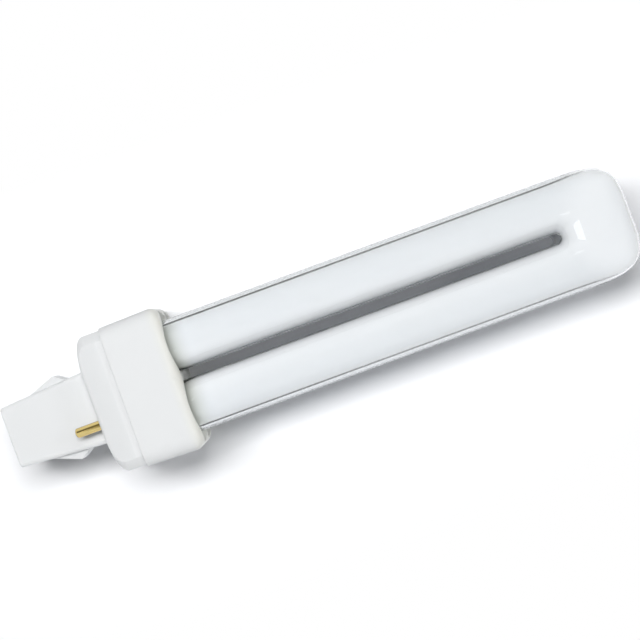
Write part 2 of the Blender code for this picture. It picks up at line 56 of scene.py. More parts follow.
# Exponent of a circle among the superellipses.
ROUND = 2.0

# Angles in degrees at which a small rounded edge gets a ring.
EDGE_TURNS = (0, 30, 60, 90)

# Angle in degrees above which an edge stays sharp where a hole was cut.
CUT_CREASE = 30.0


# Meshes


def grid_faces(rows: int, columns: int, start: int = 0, wrap: bool = True) -> list:
    """Join neighbouring points of a grid into four-sided faces.

    Args:
        rows: number of rings in the grid.
        columns: number of points in each ring.
        start: index of the grid's first point in its mesh.
        wrap: whether the last column joins the first.

    Returns:
        One tuple of four point indices for each face.
    """
    last = columns if wrap else columns - 1
    row, column = np.meshgrid(np.arange(rows - 1), np.arange(last), indexing="ij")
    ahead = (column + 1) % columns
    low, high = start + row * columns, start + (row + 1) * columns
    quads = np.stack([low + column, low + ahead, high + ahead, high + column], axis=-1)
    return [tuple(quad) for quad in quads.reshape(-1, 4).tolist()]


def smooth(share: np.ndarray) -> np.ndarray:
    """Return the eased share t ** 2 (3 - 2 t) of shares t from 0 to 1."""
    return share**2 * (3 - 2 * share)


@dataclass
class Skin:
    """Points and faces of one piece, gathered from grids before it is built."""

    points: list = field(default_factory=list)
    faces: list = field(default_factory=list)
    count: int = 0

    def add_grid(self, grid: np.ndarray, wrap: bool = True) -> None:
        """Add a surface given as an array of rows by columns of points.

        Args:
            grid: points of the surface.
            wrap: whether the last column joins the first.
        """
        rows, columns = grid.shape[:2]
        self.faces += grid_faces(rows, columns, self.count, wrap)
        self.points.append(grid.reshape(-1, 3))
        self.count += rows * columns

    def add_closed(self, grid: np.ndarray, hollow: bool = False) -> None:
        """Add rings whose first and last ring are each filled to their middle.

        The sum of p . (q x r) over the faces gives the sign of the volume,
        and the rings are turned round where it shows the faces inside out.

        Args:
            grid: rings by points, with each ring closed on itself.
            hollow: whether the surface is the wall of a cavity.
        """
        ends = (grid[:1].mean(axis=1, keepdims=True), grid[-1:].mean(axis=1, keepdims=True))
        ring = grid.shape[1]
        low, high = (np.repeat(end, ring, axis=1) for end in ends)
        whole = np.concatenate([low, grid, high], axis=0)
        ahead = np.roll(whole, -1, axis=1)
        p, q, r, s = whole[:-1], ahead[:-1], ahead[1:], whole[1:]
        volume = (p * np.cross(q, r)).sum() + (p * np.cross(r, s)).sum()
        if (volume < 0) != hollow:
            whole = whole[:, ::-1]
        self.add_grid(whole)

    def build(
        self, name: str, crease: float = 30.0, weld: float = 2e-7, turn: bool = False
    ) -> bpy.types.Object:
        """Make the object and weld its seams and poles.

        Args:
            name: name of the piece.
            crease: angle in degrees above which an edge stays sharp.
            weld: distance under which points become one.
            turn: whether the faces still have to be turned outward.

        Returns:
            The new object, at the origin.
        """
        mesh = bpy.data.meshes.new(name)
        mesh.from_pydata(np.concatenate(self.points).tolist(), [], self.faces)
        shape = bmesh.new()
        shape.from_mesh(mesh)
        bmesh.ops.remove_doubles(shape, verts=shape.verts, dist=weld)
        bmesh.ops.dissolve_degenerate(shape, edges=shape.edges, dist=weld)
        if turn:
            bmesh.ops.recalc_face_normals(shape, faces=shape.faces)
        shape.to_mesh(mesh)
        shape.free()
        mesh.shade_smooth()
        mesh.set_sharp_from_angle(angle=math.radians(crease))
        piece = bpy.data.objects.new(name, mesh)
        bpy.context.scene.collection.objects.link(piece)
        return piece


def turned_grid(profile: Sequence, y: float, z: float, sides: int) -> np.ndarray:
    """Turn a profile about a line along X.

    Each point is (x, y + r cos a, z + r sin a), with a going once round.

    Args:
        profile: pairs of place along X and radius.
        y: where the line stands across the lamp.
        z: how high the line stands.
        sides: number of points in each ring.

    Returns:
        Array of profile points by sides by 3.
    """
    x, radius = np.array(profile, float).T
    angle = np.arange(sides) * 2 * math.pi / sides
    grid = np.empty((len(x), sides, 3))
    grid[..., 0] = x[:, None]
    grid[..., 1] = y + radius[:, None] * np.cos(angle)
    grid[..., 2] = z + radius[:, None] * np.sin(angle)
    return grid


def quarter_outline(
    half_y: float, half_z: float, corner: float, steps: int, flat: float = 0.0
) -> np.ndarray:
    """Return a quarter of a rectangle with a round or flat corner.

    The points run up one side, round the corner and back along the other
    side. The corner is an arc, drawn towards its chord by the flat share.

    Args:
        half_y: half of the width.
        half_z: half of the height.
        corner: size of the corner.
        steps: points on each side and on the corner.
        flat: 0 for a round corner, up to 1 for a plain chamfer.

    Returns:
        Points in Y and Z, from (half_y, 0) to just before (0, half_z).
    """
    t = np.arange(steps) / steps
    turn = t * np.pi / 2
    arc = np.stack([np.cos(turn), np.sin(turn)], -1) * corner
    chord = np.stack([1 - t, t], -1) * corner
    bend = np.array([half_y - corner, half_z - corner]) + arc + (chord - arc) * flat
    up = np.stack([np.full(steps, half_y), t * (half_z - corner)], -1)
    back = np.stack([(1 - t) * (half_y - corner), np.full(steps, half_z)], -1)
    return np.concatenate([up, bend, back])


def full_ring(x: float, quarter: np.ndarray) -> np.ndarray:
    """Mirror a quarter outline into a whole ring across X.

    Args:
        x: place of the ring along the lamp.
        quarter: points in Y and Z, from the +Y side to the +Z side.

    Returns:
        Points of the ring, once round.
    """
    whole = np.concatenate([quarter, [[0.0, quarter[-1, 1]]]])
    parts = [whole[:-1], (whole * [-1, 1])[:0:-1], -whole[:-1], (whole * [1, -1])[:0:-1]]
    flat = np.concatenate(parts)
    return np.concatenate([np.full((len(flat), 1), x), flat], axis=1)


def cut_out(piece: bpy.types.Object, cutter: bpy.types.Object) -> None:
    """Cut a solid out of a piece and drop the solid.

    Args:
        piece: the piece that is kept.
        cutter: the solid that is cut out of it.
    """
    modifier = piece.modifiers.new("Cut", "BOOLEAN")
    modifier.operation = "DIFFERENCE"
    modifier.solver = "EXACT"
    modifier.object = cutter
    bpy.context.view_layer.update()
    graph = bpy.context.evaluated_depsgraph_get()
    mesh = bpy.data.meshes.new_from_object(piece.evaluated_get(graph))
    piece.modifiers.clear()
    piece.data = mesh
    mesh.shade_smooth()
    mesh.set_sharp_from_angle(angle=math.radians(CUT_CREASE))
    bpy.data.objects.remove(cutter, do_unlink=True)


# Materials


# Places of a Mix node's colour sockets, which share their names with others.
FIRST_COLOUR, SECOND_COLOUR, MIXED_COLOUR = 6, 7, 2


def rays_of(tree: bpy.types.NodeTree, kinds: Sequence[str]) -> bpy.types.NodeSocket:
    """Tell rays of the named kinds from the rest.

    Args:
        tree: node tree of a material or a world.
        kinds: names of Light Path outputs.

    Returns:
        Socket that is 1 for any of the kinds and 0 for the rest.
    """
    path = tree.nodes.new("ShaderNodeLightPath")
    factor = path.outputs[kinds[0]]
    for kind in kinds[1:]:
        either = tree.nodes.new("ShaderNodeMath")
        either.operation = "MAXIMUM"
        tree.links.new(factor, either.inputs[0])
        tree.links.new(path.outputs[kind], either.inputs[1])
        factor = either.outputs[0]
    return factor


class NodeSheet:
    """Builds one node material step by step."""

    def __init__(self, name: str) -> None:
        """Start a material with a Principled shader on Object coordinates.

        Args:
            name: name of the material.
        """
        self.material = bpy.data.materials.new(name)
        self.material.use_nodes = True
        self.tree = self.material.node_tree
        self.shader = self.tree.nodes["Principled BSDF"]
        self.output = self.tree.nodes["Material Output"]
        self.place = self.add("ShaderNodeTexCoord").outputs["Object"]

    def add(self, kind: str, **settings: object) -> bpy.types.Node:
        """Add a node with the given settings.

        Args:
            kind: type name of the node.
            settings: values of the node's own properties.

        Returns:
            The new node.
        """
        node = self.tree.nodes.new(kind)
        for key, value in settings.items():
            setattr(node, key, value)
        return node

    def link(self, source: bpy.types.NodeSocket, target: bpy.types.NodeSocket) -> None:
        """Link one socket to another."""
        self.tree.links.new(source, target)

    def feed(self, value: object, target: bpy.types.NodeSocket) -> None:
        """Link a socket to a target, or set the target to a plain value.

        Args:
            value: a socket or a plain value.
            target: the input that takes it.
        """
        if isinstance(value, bpy.types.NodeSocket):
            self.link(value, target)
        else:
            target.default_value = value

    def math(self, operation: str, first: object, second: object = 0.0) -> bpy.types.NodeSocket:
        """Add a Math node over two values or sockets.

        Args:
            operation: name of the operation.
            first: first value or socket.
            second: second value or socket.

        Returns:
            Socket of the result.
        """
        node = self.add("ShaderNodeMath", operation=operation)
        self.feed(first, node.inputs[0])
        self.feed(second, node.inputs[1])
        return node.outputs[0]

    def stretched(self, scale: tuple) -> bpy.types.NodeSocket:
        """Scale the object coordinates by a factor along each axis.

        Args:
            scale: the three factors.

        Returns:
            Socket of the scaled coordinates.
        """
        node = self.add("ShaderNodeMapping")
        node.inputs["Scale"].default_value = scale
        self.link(self.place, node.inputs["Vector"])
        return node.outputs["Vector"]

    def noise(
        self, scale: float, detail: float = 3.0, place: Optional[bpy.types.NodeSocket] = None
    ) -> bpy.types.NodeSocket:
        """Add a noise over the piece.

        Args:
            scale: how fine the noise is.
            detail: how many finer layers it has.
            place: coordinates that it lies on, or None for the plain ones.

        Returns:
            Socket of a value from 0 to 1.
        """
        node = self.add("ShaderNodeTexNoise")
        self.link(place or self.place, node.inputs["Vector"])
        node.inputs["Scale"].default_value = scale
        node.inputs["Detail"].default_value = detail
        return node.outputs["Fac"]

    def fade(self, value: bpy.types.NodeSocket, start: float, end: float) -> bpy.types.NodeSocket:
        """Ease from 0 where a value is at start to 1 where it is at end.

        Args:
            value: the value that decides.
            start: value that gives 0.
            end: value that gives 1.

        Returns:
            Socket of the eased share.
        """
        node = self.add("ShaderNodeMapRange", interpolation_type="SMOOTHSTEP")
        self.link(value, node.inputs["Value"])
        node.inputs["From Min"].default_value = start
        node.inputs["From Max"].default_value = end
        return node.outputs["Result"]

    def along(self, axis: str) -> bpy.types.NodeSocket:
        """Take the object coordinate along one axis.

        Args:
            axis: X, Y or Z.

        Returns:
            Socket of the coordinate.
        """
        node = self.add("ShaderNodeSeparateXYZ")
        self.link(self.place, node.inputs[0])
        return node.outputs[axis]

    def blend(self, factor: object, first: object, second: object) -> bpy.types.NodeSocket:
        """Mix two colours.

        Args:
            factor: 0 for the first colour, 1 for the second.
            first: first colour or socket.
            second: second colour or socket.

        Returns:
            Socket of the mixed colour.
        """
        node = self.add("ShaderNodeMix", data_type="RGBA")
        self.feed(factor, node.inputs["Factor"])
        self.feed(first, node.inputs[FIRST_COLOUR])
        self.feed(second, node.inputs[SECOND_COLOUR])
        return node.outputs[MIXED_COLOUR]

    def rays(self, *kinds: str) -> bpy.types.NodeSocket:
        """Return a socket that is 1 for any of the named kinds of ray."""
        return rays_of(self.tree, kinds)

    def let_light_through(self, kinds: Sequence[str]) -> None:
        """Let the named kinds of ray pass the shader straight, as lamps' light does.

        Args:
            kinds: names of Light Path outputs.
        """
        factor = self.rays(*kinds)
        clear = self.add("ShaderNodeBsdfTransparent")
        clear.inputs["Color"].default_value = shade((1, 1, 1))
        mix = self.add("ShaderNodeMixShader")
        self.link(factor, mix.inputs[0])
        self.link(self.shader.outputs[0], mix.inputs[1])
        self.link(clear.outputs[0], mix.inputs[2])
        self.link(mix.outputs[0], self.output.inputs["Surface"])

    def bump(self, height: bpy.types.NodeSocket, strength: float, distance: float) -> None:
        """Raise the shader's surface by a height map.

        Args:
            height: socket of the height, from 0 to 1.
            strength: how strongly the relief shows.
            distance: height of the relief where the map is 1.
        """
        node = self.add("ShaderNodeBump")
        node.inputs["Strength"].default_value = strength
        node.inputs["Distance"].default_value = distance
        self.link(height, node.inputs["Height"])
        self.link(node.outputs["Normal"], self.shader.inputs["Normal"])

    def scatter(self, weight: float, distance: float) -> None:
        """Let light spread under the surface, alike in all colours."""
        self.shader.inputs["Subsurface Radius"].default_value = (1.0, 1.0, 1.0)
        self.set(Subsurface_Weight=weight, Subsurface_Scale=distance)

    def paint(self, colour: bpy.types.NodeSocket) -> None:
        """Give the shader its base colour."""
        self.link(colour, self.shader.inputs["Base Color"])

    def set(self, **values: float) -> None:
        """Set plain values on the shader, with _ for each space in a name."""
        for key, value in values.items():
            self.shader.inputs[key.replace("_", " ")].default_value = value


def shade(colour: Sequence, factor: float = 1.0) -> tuple:
    """Return a colour times a factor, with full alpha."""
    return (*(channel * factor for channel in colour), 1.0)


@dataclass(frozen=True)
class ClearTubeGlass:
    """Clear wall of the discharge tube, outside its powder coating."""

    tint: tuple = (0.975, 0.985, 0.985)
    depth_tint: tuple = (0.79, 0.815, 0.83)
    density: float = 220.0
    roughness: float = 0.02
    ior: float = 1.5
    streak_scale: float = 900.0
    streak_detail: float = 2.0
    streak_stretch: tuple = (0.02, 1.0, 1.0)
    streak_shade: float = 0.985
    passing_rays: tuple = ("Is Shadow Ray", "Is Diffuse Ray")

    def make(self) -> bpy.types.Material:
        """Make the glass, grey in depth, with a trace of draw lines.

        Returns:
            The material.
        """
        sheet = NodeSheet("clear_tube_glass")
        lines = sheet.stretched(self.streak_stretch)
        streak = sheet.noise(self.streak_scale, self.streak_detail, lines)
        tint = sheet.blend(streak, shade(self.tint), shade(self.tint, self.streak_shade))
        sheet.paint(tint)
        sheet.set(Roughness=self.roughness, IOR=self.ior, Transmission_Weight=1.0)
        sheet.let_light_through(self.passing_rays)
        depth = sheet.add("ShaderNodeVolumeAbsorption")
        depth.inputs["Color"].default_value = shade(self.depth_tint)
        depth.inputs["Density"].default_value = self.density
        sheet.link(depth.outputs[0], sheet.output.inputs["Volume"])
        return sheet.material


@dataclass(frozen=True)
class PowderCoating:
    """White powder coating on the inner wall of the tube."""

    colour: tuple = (0.90, 0.912, 0.942)
    # Painted shade: olive grey near the housing's mouth, where the housing shades the legs.
    mouth_shade_colour: tuple = (0.58, 0.59, 0.53)
    mouth_start: float = 42.0 * MM
    mouth_end: float = 49.0 * MM
    mouth_wander: float = 2.0 * MM
    scatter_weight: float = 0.85
    scatter_distance: float = 3.0 * MM
    grain_scale: float = 2600.0
    grain_detail: float = 4.0
    grain_shade: float = 0.985
    cloud_scale: float = 55.0
    cloud_shade: float = 0.975
    roughness: float = 0.9
    gloss: float = 0.1

    def make(self) -> bpy.types.Material:
        """Make the coating, with a painted olive shade at the mouths, where the housing shades
        the legs.

        Returns:
            The material.
        """
        sheet = NodeSheet("powder_coating")
        grain = sheet.noise(self.grain_scale, self.grain_detail)
        cloud = sheet.noise(self.cloud_scale)
        base = sheet.blend(grain, shade(self.colour), shade(self.colour, self.grain_shade))
        base = sheet.blend(cloud, base, shade(self.colour, self.cloud_shade))
        # Painted shade towards the mouth, with an edge that wanders with the clouds.
        wander = sheet.math("MULTIPLY", cloud, self.mouth_wander)
        place = sheet.math("ADD", sheet.along("X"), wander)
        reach = sheet.fade(place, self.mouth_start, self.mouth_end)
        colour = sheet.blend(reach, shade(self.mouth_shade_colour), base)
        sheet.paint(colour)
        sheet.set(Roughness=self.roughness, Specular_IOR_Level=self.gloss)
        sheet.scatter(self.scatter_weight, self.scatter_distance)
        return sheet.material


@dataclass(frozen=True)
class MouldedPlastic:
    """White moulded plastic of the housing, cap and post."""

    colour: tuple = (0.785, 0.795, 0.80)
    # Painted shade: a cream tint on the housing's front, standing in for the shade that falls
    # there.
    front_shade_tint: tuple = (0.79, 0.79, 0.735)
    front_shade_start: float = 39.0 * MM
    front_shade_end: float = 43.0 * MM
    flow_scale: float = 70.0
    flow_detail: float = 4.0
    flow_stretch: tuple = (0.5, 1.0, 1.0)
    flow_shade: float = 0.972
    speck_scale: float = 4200.0
    speck_detail: float = 2.0
    speck_strength: float = 0.08
    speck_height: float = 0.04 * MM
    roughness: float = 0.33
    roughness_spread: float = 0.1
    scatter_weight: float = 0.5
    scatter_distance: float = 1.5 * MM

    def make(self) -> bpy.types.Material:
        """Make satin plastic with flow clouding, a fine moulded grain and a painted cream shade
        on the housing's front.

        Returns:
            The material.
        """
        sheet = NodeSheet("moulded_plastic")
        drawn = sheet.stretched(self.flow_stretch)
        flow = sheet.noise(self.flow_scale, self.flow_detail, drawn)
        speck = sheet.noise(self.speck_scale, self.speck_detail)
        base = sheet.blend(flow, shade(self.colour), shade(self.colour, self.flow_shade))
        # Painted shade: cream tint towards the housing's front.
        reach = sheet.fade(sheet.along("X"), self.front_shade_start, self.front_shade_end)
        colour = sheet.blend(reach, base, shade(self.front_shade_tint))
        sheet.paint(colour)
        spread = sheet.math("MULTIPLY", speck, self.roughness_spread)
        rough = sheet.math("ADD", spread, self.roughness)
        sheet.link(rough, sheet.shader.inputs["Roughness"])
        sheet.scatter(self.scatter_weight, self.scatter_distance)
        sheet.bump(speck, self.speck_strength, self.speck_height)
        return sheet.material


@dataclass(frozen=True)
class DrawnBrass:
    """Drawn brass of the contact pins and crimp ferrules."""

    name: str = "drawn_brass"
    colour: tuple = (0.80, 0.62, 0.26)
    # Dark of the lines and the tarnish; along the lines it is partly painted reflection.
    dark: tuple = (0.17, 0.12, 0.03)
    line_scale: float = 1500.0
    line_detail: float = 2.0
    line_stretch: tuple = (0.02, 1.0, 1.0)
    line_start: float = 0.44
    line_end: float = 0.58
    line_strength: float = 0.25
    line_height: float = 0.02 * MM
    tarnish_scale: float = 320.0
    tarnish_share: float = 0.3
    roughness: float = 0.16
    roughness_spread: float = 0.18

    def make(self) -> bpy.types.Material:
        """Make brass with dark lines along the pin: partly draw lines, partly painted dark
        reflections.

        Returns:
            The material.
        """
        sheet = NodeSheet(self.name)
        drawn = sheet.stretched(self.line_stretch)
        lines = sheet.noise(self.line_scale, self.line_detail, drawn)
        tarnish = sheet.noise(self.tarnish_scale)
        # Partly real draw lines, partly painted dark reflections along the pin.
        deep = sheet.fade(lines, self.line_start, self.line_end)
        base = sheet.blend(deep, shade(self.colour), shade(self.dark))
        stain = sheet.math("MULTIPLY", tarnish, self.tarnish_share)
        sheet.paint(sheet.blend(stain, base, shade(self.dark)))
        spread = sheet.math("MULTIPLY", tarnish, self.roughness_spread)
        rough = sheet.math("ADD", spread, self.roughness)
        sheet.link(rough, sheet.shader.inputs["Roughness"])
        sheet.set(Metallic=1.0)
        sheet.bump(lines, self.line_strength, self.line_height)
        return sheet.material


@dataclass(frozen=True)
class GrainedFinish:
    """One colour, varied by a noise that can also raise the surface.

    The two shades are the colour's factors where the noise is 0 and 1, and
    the settings are plain values of the shader.
    """

    name: str
    colour: tuple
    scale: float
    shades: tuple
    settings: dict
    detail: float = 3.0
    stretch: tuple = (1.0, 1.0, 1.0)
    strength: float = 0.0
    height: float = 0.0

    def make(self) -> bpy.types.Material:
        """Make the finish, with the two shades at the noise's ends.

        Returns:
            The material.
        """
        sheet = NodeSheet(self.name)
        grain = sheet.noise(self.scale, self.detail, sheet.stretched(self.stretch))
        low, high = self.shades
        sheet.paint(sheet.blend(grain, shade(self.colour, low), shade(self.colour, high)))
        sheet.set(**self.settings)
        if self.strength:
            sheet.bump(grain, self.strength, self.height)
        return sheet.material


@dataclass(frozen=True)
class GlassFibreSleeve:
    """Woven glass-fibre sleeving on the starter leads."""

    name: str = "glass_fibre_sleeve"
    colour: tuple = (0.86, 0.84, 0.76)
    weave_scale: float = 900.0
    weave_bend: float = 2.0
    weave_shade: float = 0.8
    weave_strength: float = 0.5
    weave_height: float = 0.05 * MM
    roughness: float = 0.8
    sheen: float = 0.3

    def make(self) -> bpy.types.Material:
        """Make sleeving with a fine slanting weave.

        Returns:
            The material.
        """
        sheet = NodeSheet(self.name)
        weave = sheet.add("ShaderNodeTexWave", bands_direction="DIAGONAL")
        sheet.link(sheet.place, weave.inputs["Vector"])
        weave.inputs["Scale"].default_value = self.weave_scale
        weave.inputs["Distortion"].default_value = self.weave_bend
        height = weave.outputs["Fac"]
        colour = sheet.blend(height, shade(self.colour, self.weave_shade), shade(self.colour))
        sheet.paint(colour)
        sheet.set(Roughness=self.roughness, Sheen_Weight=self.sheen)
        sheet.bump(height, self.weave_strength, self.weave_height)
        return sheet.material


STARTER_GLASS = GrainedFinish(
    name="starter_glass",
    colour=(0.86, 0.90, 0.90),
    scale=260.0,
    shades=(1.0, 0.9),
    settings={"Roughness": 0.04, "IOR": 1.5, "Transmission_Weight": 0.85},
)
DIPPED_LACQUER = GrainedFinish(
    name="dipped_lacquer",
    colour=(0.42, 0.13, 0.045),
    scale=420.0,
    shades=(1.0, 0.7),
    settings={"Roughness": 0.24, "Coat_Weight": 0.4, "Coat_Roughness": 0.1},
    strength=0.3,
    height=0.1 * MM,
)
NICKEL_WIRE = GrainedFinish(
    name="nickel_wire",
    colour=(0.62, 0.60, 0.56),
    scale=3800.0,
    shades=(1.0, 0.75),
    settings={"Metallic": 1.0, "Roughness": 0.28},
    detail=2.0,
    stretch=(0.08, 1.0, 1.0),
    strength=0.2,
    height=0.01 * MM,
)
SET_MASTIC = GrainedFinish(
    name="set_mastic",
    colour=(0.76, 0.74, 0.68),
    scale=900.0,
    shades=(0.85, 1.0),
    settings={"Roughness": 0.92},
    detail=5.0,
    strength=0.6,
    height=0.2 * MM,
)


# Sub-assemblies


def dress(
    piece: bpy.types.Object, material: bpy.types.Material, slot: str, *nodes: str
) -> bpy.types.Object:
    """Give a piece its material, and let it ride and stand for its CAD nodes.

    Args:
        piece: the new piece.
        material: its finish.
        slot: name of a material slot; not used.
        nodes: the CAD nodes that it stands for.

    Returns:
        The same piece.
    """
    piece.data.materials.clear()
    piece.data.materials.append(material)
    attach(piece, ROOT)
    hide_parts(*nodes)
    log.info("%s: %d faces", piece.name, len(piece.data.polygons))
    return piece


@dataclass(frozen=True)
class Layout:
    """Places along and across the lamp that several sub-assemblies share."""

    gap: float = 0.3 * MM
    rear: float = 21.4 * MM
    parting: float = 28.6 * MM
    front: float = 43.0 * MM
    tip: float = 153.0 * MM
    leg_radius: float = 6.2 * MM
    leg_gap: float = 2.3 * MM
    housing_half: float = 17.1 * MM
    cap_half: float = 16.25 * MM

    @property
    def leg_offset(self) -> float:
        """Return how far each leg's axis stands from the lamp's axis."""
        return self.leg_radius + self.leg_gap / 2


class Side(Enum):
    """The two U tubes, named by where they lie when the lamp rests."""

    UPPER = 1
    LOWER = -1


def power(value: np.ndarray, exponent: float) -> np.ndarray:
    """Raise the size of each value to a power and keep its sign."""
    return np.sign(value) * np.abs(value) ** exponent


@dataclass
class DischargeTube:
    """Two U tubes of clear glass with a powder coating inside."""

    layout: Layout
    bend_length: float = 17.2 * MM
    squareness: float = 4.2
    fullness: float = 0.55
    insertion: float = 10.4 * MM
    wall: float = 1.24 * MM
    thin_wall: float = 0.28 * MM
    thin_share: float = 0.55
    bend_thins_from: float = 0.25
    bend_thins_over: float = 0.65
    mouth_run: float = 2.0 * MM
    mouth_lead: float = 1.2
    coating_gap: float = 0.03 * MM
    pinch_width: float = 9.0 * MM
    pinch_thickness: float = 3.0 * MM
    pinch_shoulder: float = 2.6 * MM
    pinch_length: float = 3.2 * MM
    pinch_squareness: float = 4.0
    pinch_shares: tuple = (0, 0, 0.15, 0.3, 0.45, 0.6, 0.75, 0.9)
    dome_share: float = 0.55
    dome_turns: tuple = (12, 25, 37, 48, 58, 68)
    seal_tip: float = 2.4 * MM
    bead_share: float = 0.26
    bead_places: tuple = (0.0, 0.7, 1.0)
    bead_sizes: tuple = (1.1, 1.0, 0.5)
    bridge_radius: float = 3.2 * MM
    bridge_place: float = 8.0 * MM
    bridge_fillet: float = 0.45 * MM
    bridge_sink: float = 0.12 * MM
    bridge_sides: int = 48
    bridge_steps: int = 21
    crease: float = 50.0
    sides: int = 96
    bend_steps: int = 96
    leg_steps: int = 40

    def bend_outline(self, angle: np.ndarray) -> np.ndarray:
        """Work out the reach of the bend's outer outline at each angle.

        The outline is a superellipse: the reach r solves
        (r sin a / w) ** n + (r cos a / l) ** n = 1 for half width w and length l.

        Args:
            angle: angles from the lamp's direction, in radians.

        Returns:
            Reach at each angle.
        """
        half = self.layout.leg_offset + self.layout.leg_radius
        length = self.bend_length + self.layout.leg_gap / 2
        across = np.abs(np.sin(angle)) / half
        along = np.abs(np.cos(angle)) / length
        return (across**self.squareness + along**self.squareness) ** (-1 / self.squareness)

    def leg_end(self) -> float:
        """Return where the round part of each leg ends inside the housing."""
        return self.layout.front - self.insertion

    def bend_start(self) -> float:
        """Return where the straight legs meet the bend."""
        return self.layout.tip - self.bend_length - self.layout.leg_gap / 2

    def sections(self) -> tuple:
        """Work out the tube's sections along the straight legs and the bend.

        Returns:
            Arrays of section centre, outward direction, half width, half
            height and roundness, from the electrode leg to the closed leg.
        """
        start, end = self.leg_end(), self.bend_start()
        ease = np.linspace(0.0, 1.0, self.leg_steps)
        angle = np.pi * (np.linspace(0, 1, self.bend_steps + 1) - 0.5)
        outer, inner = self.bend_outline(angle), self.layout.leg_gap / 2
        outward = np.stack([np.cos(angle), np.sin(angle), np.zeros_like(angle)], -1)
        middle = ((outer + inner) / 2)[:, None] * outward + np.array([end, 0.0, 0.0])
        leg_x = start + ease[:-1] * (end - start)
        leg = np.stack([leg_x, np.full_like(leg_x, -self.layout.leg_offset), 0 * leg_x], -1)
        side = np.tile([0.0, -1.0, 0.0], (len(leg), 1))
        centres = np.concatenate([leg, middle, leg[::-1] * [1, -1, 1]])
        directions = np.concatenate([side, outward, -side])
        radius = self.layout.leg_radius
        width = np.concatenate([0 * leg_x + radius, (outer - inner) / 2, 0 * leg_x + radius])
        bend_form = ROUND + self.fullness * np.cos(angle) ** 2
        roundness = np.concatenate([0 * leg_x + ROUND, bend_form, 0 * leg_x + ROUND])
        height = np.full_like(width, radius)
        return centres, directions, width, height, roundness

    def wall_at(self, centres: np.ndarray, directions: np.ndarray) -> np.ndarray:
        """Work out the glass wall's thickness at each point of each section.

        The wall is full at the outer limb, thins towards the other leg with
        smooth((cos a + 1) / 2 s), and thins round the blown bend with the
        smooth share of the outward direction along X. Inside the housing it
        stays full.

        Args:
            centres: middle of each section.
            directions: outward direction of each section.

        Returns:
            Array of sections by points.
        """
        angle = np.arange(self.sides) * 2 * np.pi / self.sides
        full = smooth(np.clip((np.cos(angle) + 1) / (2 * self.thin_share), 0, 1))
        turned = (directions[:, 0] - self.bend_thins_from) / self.bend_thins_over
        bend = smooth(np.clip(turned, 0, 1))
        outside = (centres[:, 0] - self.layout.front) / self.mouth_run
        free = np.clip(outside + self.mouth_lead, 0, 1)
        share = 1 - free[:, None] * (1 - full * (1 - bend)[:, None])
        return self.thin_wall + (self.wall - self.thin_wall) * share

    def rings(
        self,
        centres: np.ndarray,
        directions: np.ndarray,
        width: np.ndarray,
        height: np.ndarray,
        roundness: np.ndarray,
        inset: float | np.ndarray = 0.0,
    ) -> np.ndarray:
        """Draw superellipse rings, wide along each direction and high in Z.

        A point is centre + w |cos a| ** (2 / n) out + h |sin a| ** (2 / n) up,
        with the signs of the cosine and sine, and w and h less the inset.

        Args:
            centres: middle of each ring.
            directions: outward direction of each ring.
            width: half width w of each ring.
            height: half height h of each ring.
            roundness: exponent n of each ring.
            inset: how far in the surface lies, alike or for each point.

        Returns:
            Array of rings by points by 3.
        """
        angle = np.arange(self.sides) * 2 * np.pi / self.sides
        exponent = (2 / roundness)[:, None]
        across = (width[:, None] - inset) * power(np.cos(angle), exponent)
        grid = centres[:, None, :] + across[..., None] * directions[:, None, :]
        grid[..., 2] += (height[:, None] - inset) * power(np.sin(angle), exponent)
        return grid

    def pinched_end(self) -> np.ndarray:
        """Draw the flattened seal of the electrode leg.

        Returns:
            Rings from the seal's end to the round leg.
        """
        seal = self.leg_end() - self.pinch_shoulder
        t = np.array(self.pinch_shares)
        x = seal + t * self.pinch_shoulder
        x[0] -= self.pinch_length
        blend = np.sin(t * np.pi / 2)
        full = 2 * self.layout.leg_radius
        width = (self.pinch_width + blend * (full - self.pinch_width)) / 2
        height = (self.pinch_thickness + blend * (full - self.pinch_thickness)) / 2
        centres = np.stack([x, np.full_like(x, -self.layout.leg_offset), 0 * x], -1)
        side = np.tile([0.0, -1.0, 0.0], (len(x), 1))
        roundness = self.pinch_squareness + (ROUND - self.pinch_squareness) * blend
        return self.rings(centres, side, width, height, roundness)

    def domed_end(self, inset: float, side: int, tip: bool) -> np.ndarray:
        """Draw a leg's rounded end.

        Args:
            inset: how far in from the outside the surface lies.
            side: 1 for the leg on the +Y side, -1 for the other.
            tip: whether the end has its seal tip.

        Returns:
            Rings from the leg to its end.
        """
        radius = self.layout.leg_radius - inset
        dome = self.dome_share * radius
        turn = np.radians(self.dome_turns)
        x = self.leg_end() - dome * np.sin(turn)
        size = radius * np.cos(turn)
        if tip:
            run = np.array(self.bead_places) * self.seal_tip
            x = np.append(x, self.leg_end() - dome - run)
            size = np.append(size, self.bead_share * radius * np.array(self.bead_sizes))
        centres = np.stack([x, np.full_like(x, side * self.layout.leg_offset), 0 * x], -1)
        out = np.tile([0.0, float(side), 0.0], (len(x), 1))
        return self.rings(centres, out, size, size, np.full_like(x, ROUND))

    def u_surface(self, inset: float, which: Side) -> np.ndarray:
        """Draw the closed surface of one U, outside or at an inset in its wall.

        Args:
            inset: 0 for the outside, else how far in the surface lies where
                the wall is full.
            which: the upper or the lower U.

        Returns:
            Rings from the electrode leg's end to the closed leg's end.
        """
        form = self.sections()
        deep = self.wall_at(*form[:2]) + inset - self.wall if inset else 0.0
        body = self.rings(*form, deep)
        if inset:
            first = self.domed_end(inset, -1, False)[::-1]
        else:
            first = self.pinched_end()
        grid = np.concatenate([first, body, self.domed_end(inset, 1, not inset)])
        grid[..., 2] += which.value * self.layout.leg_offset
        return grid

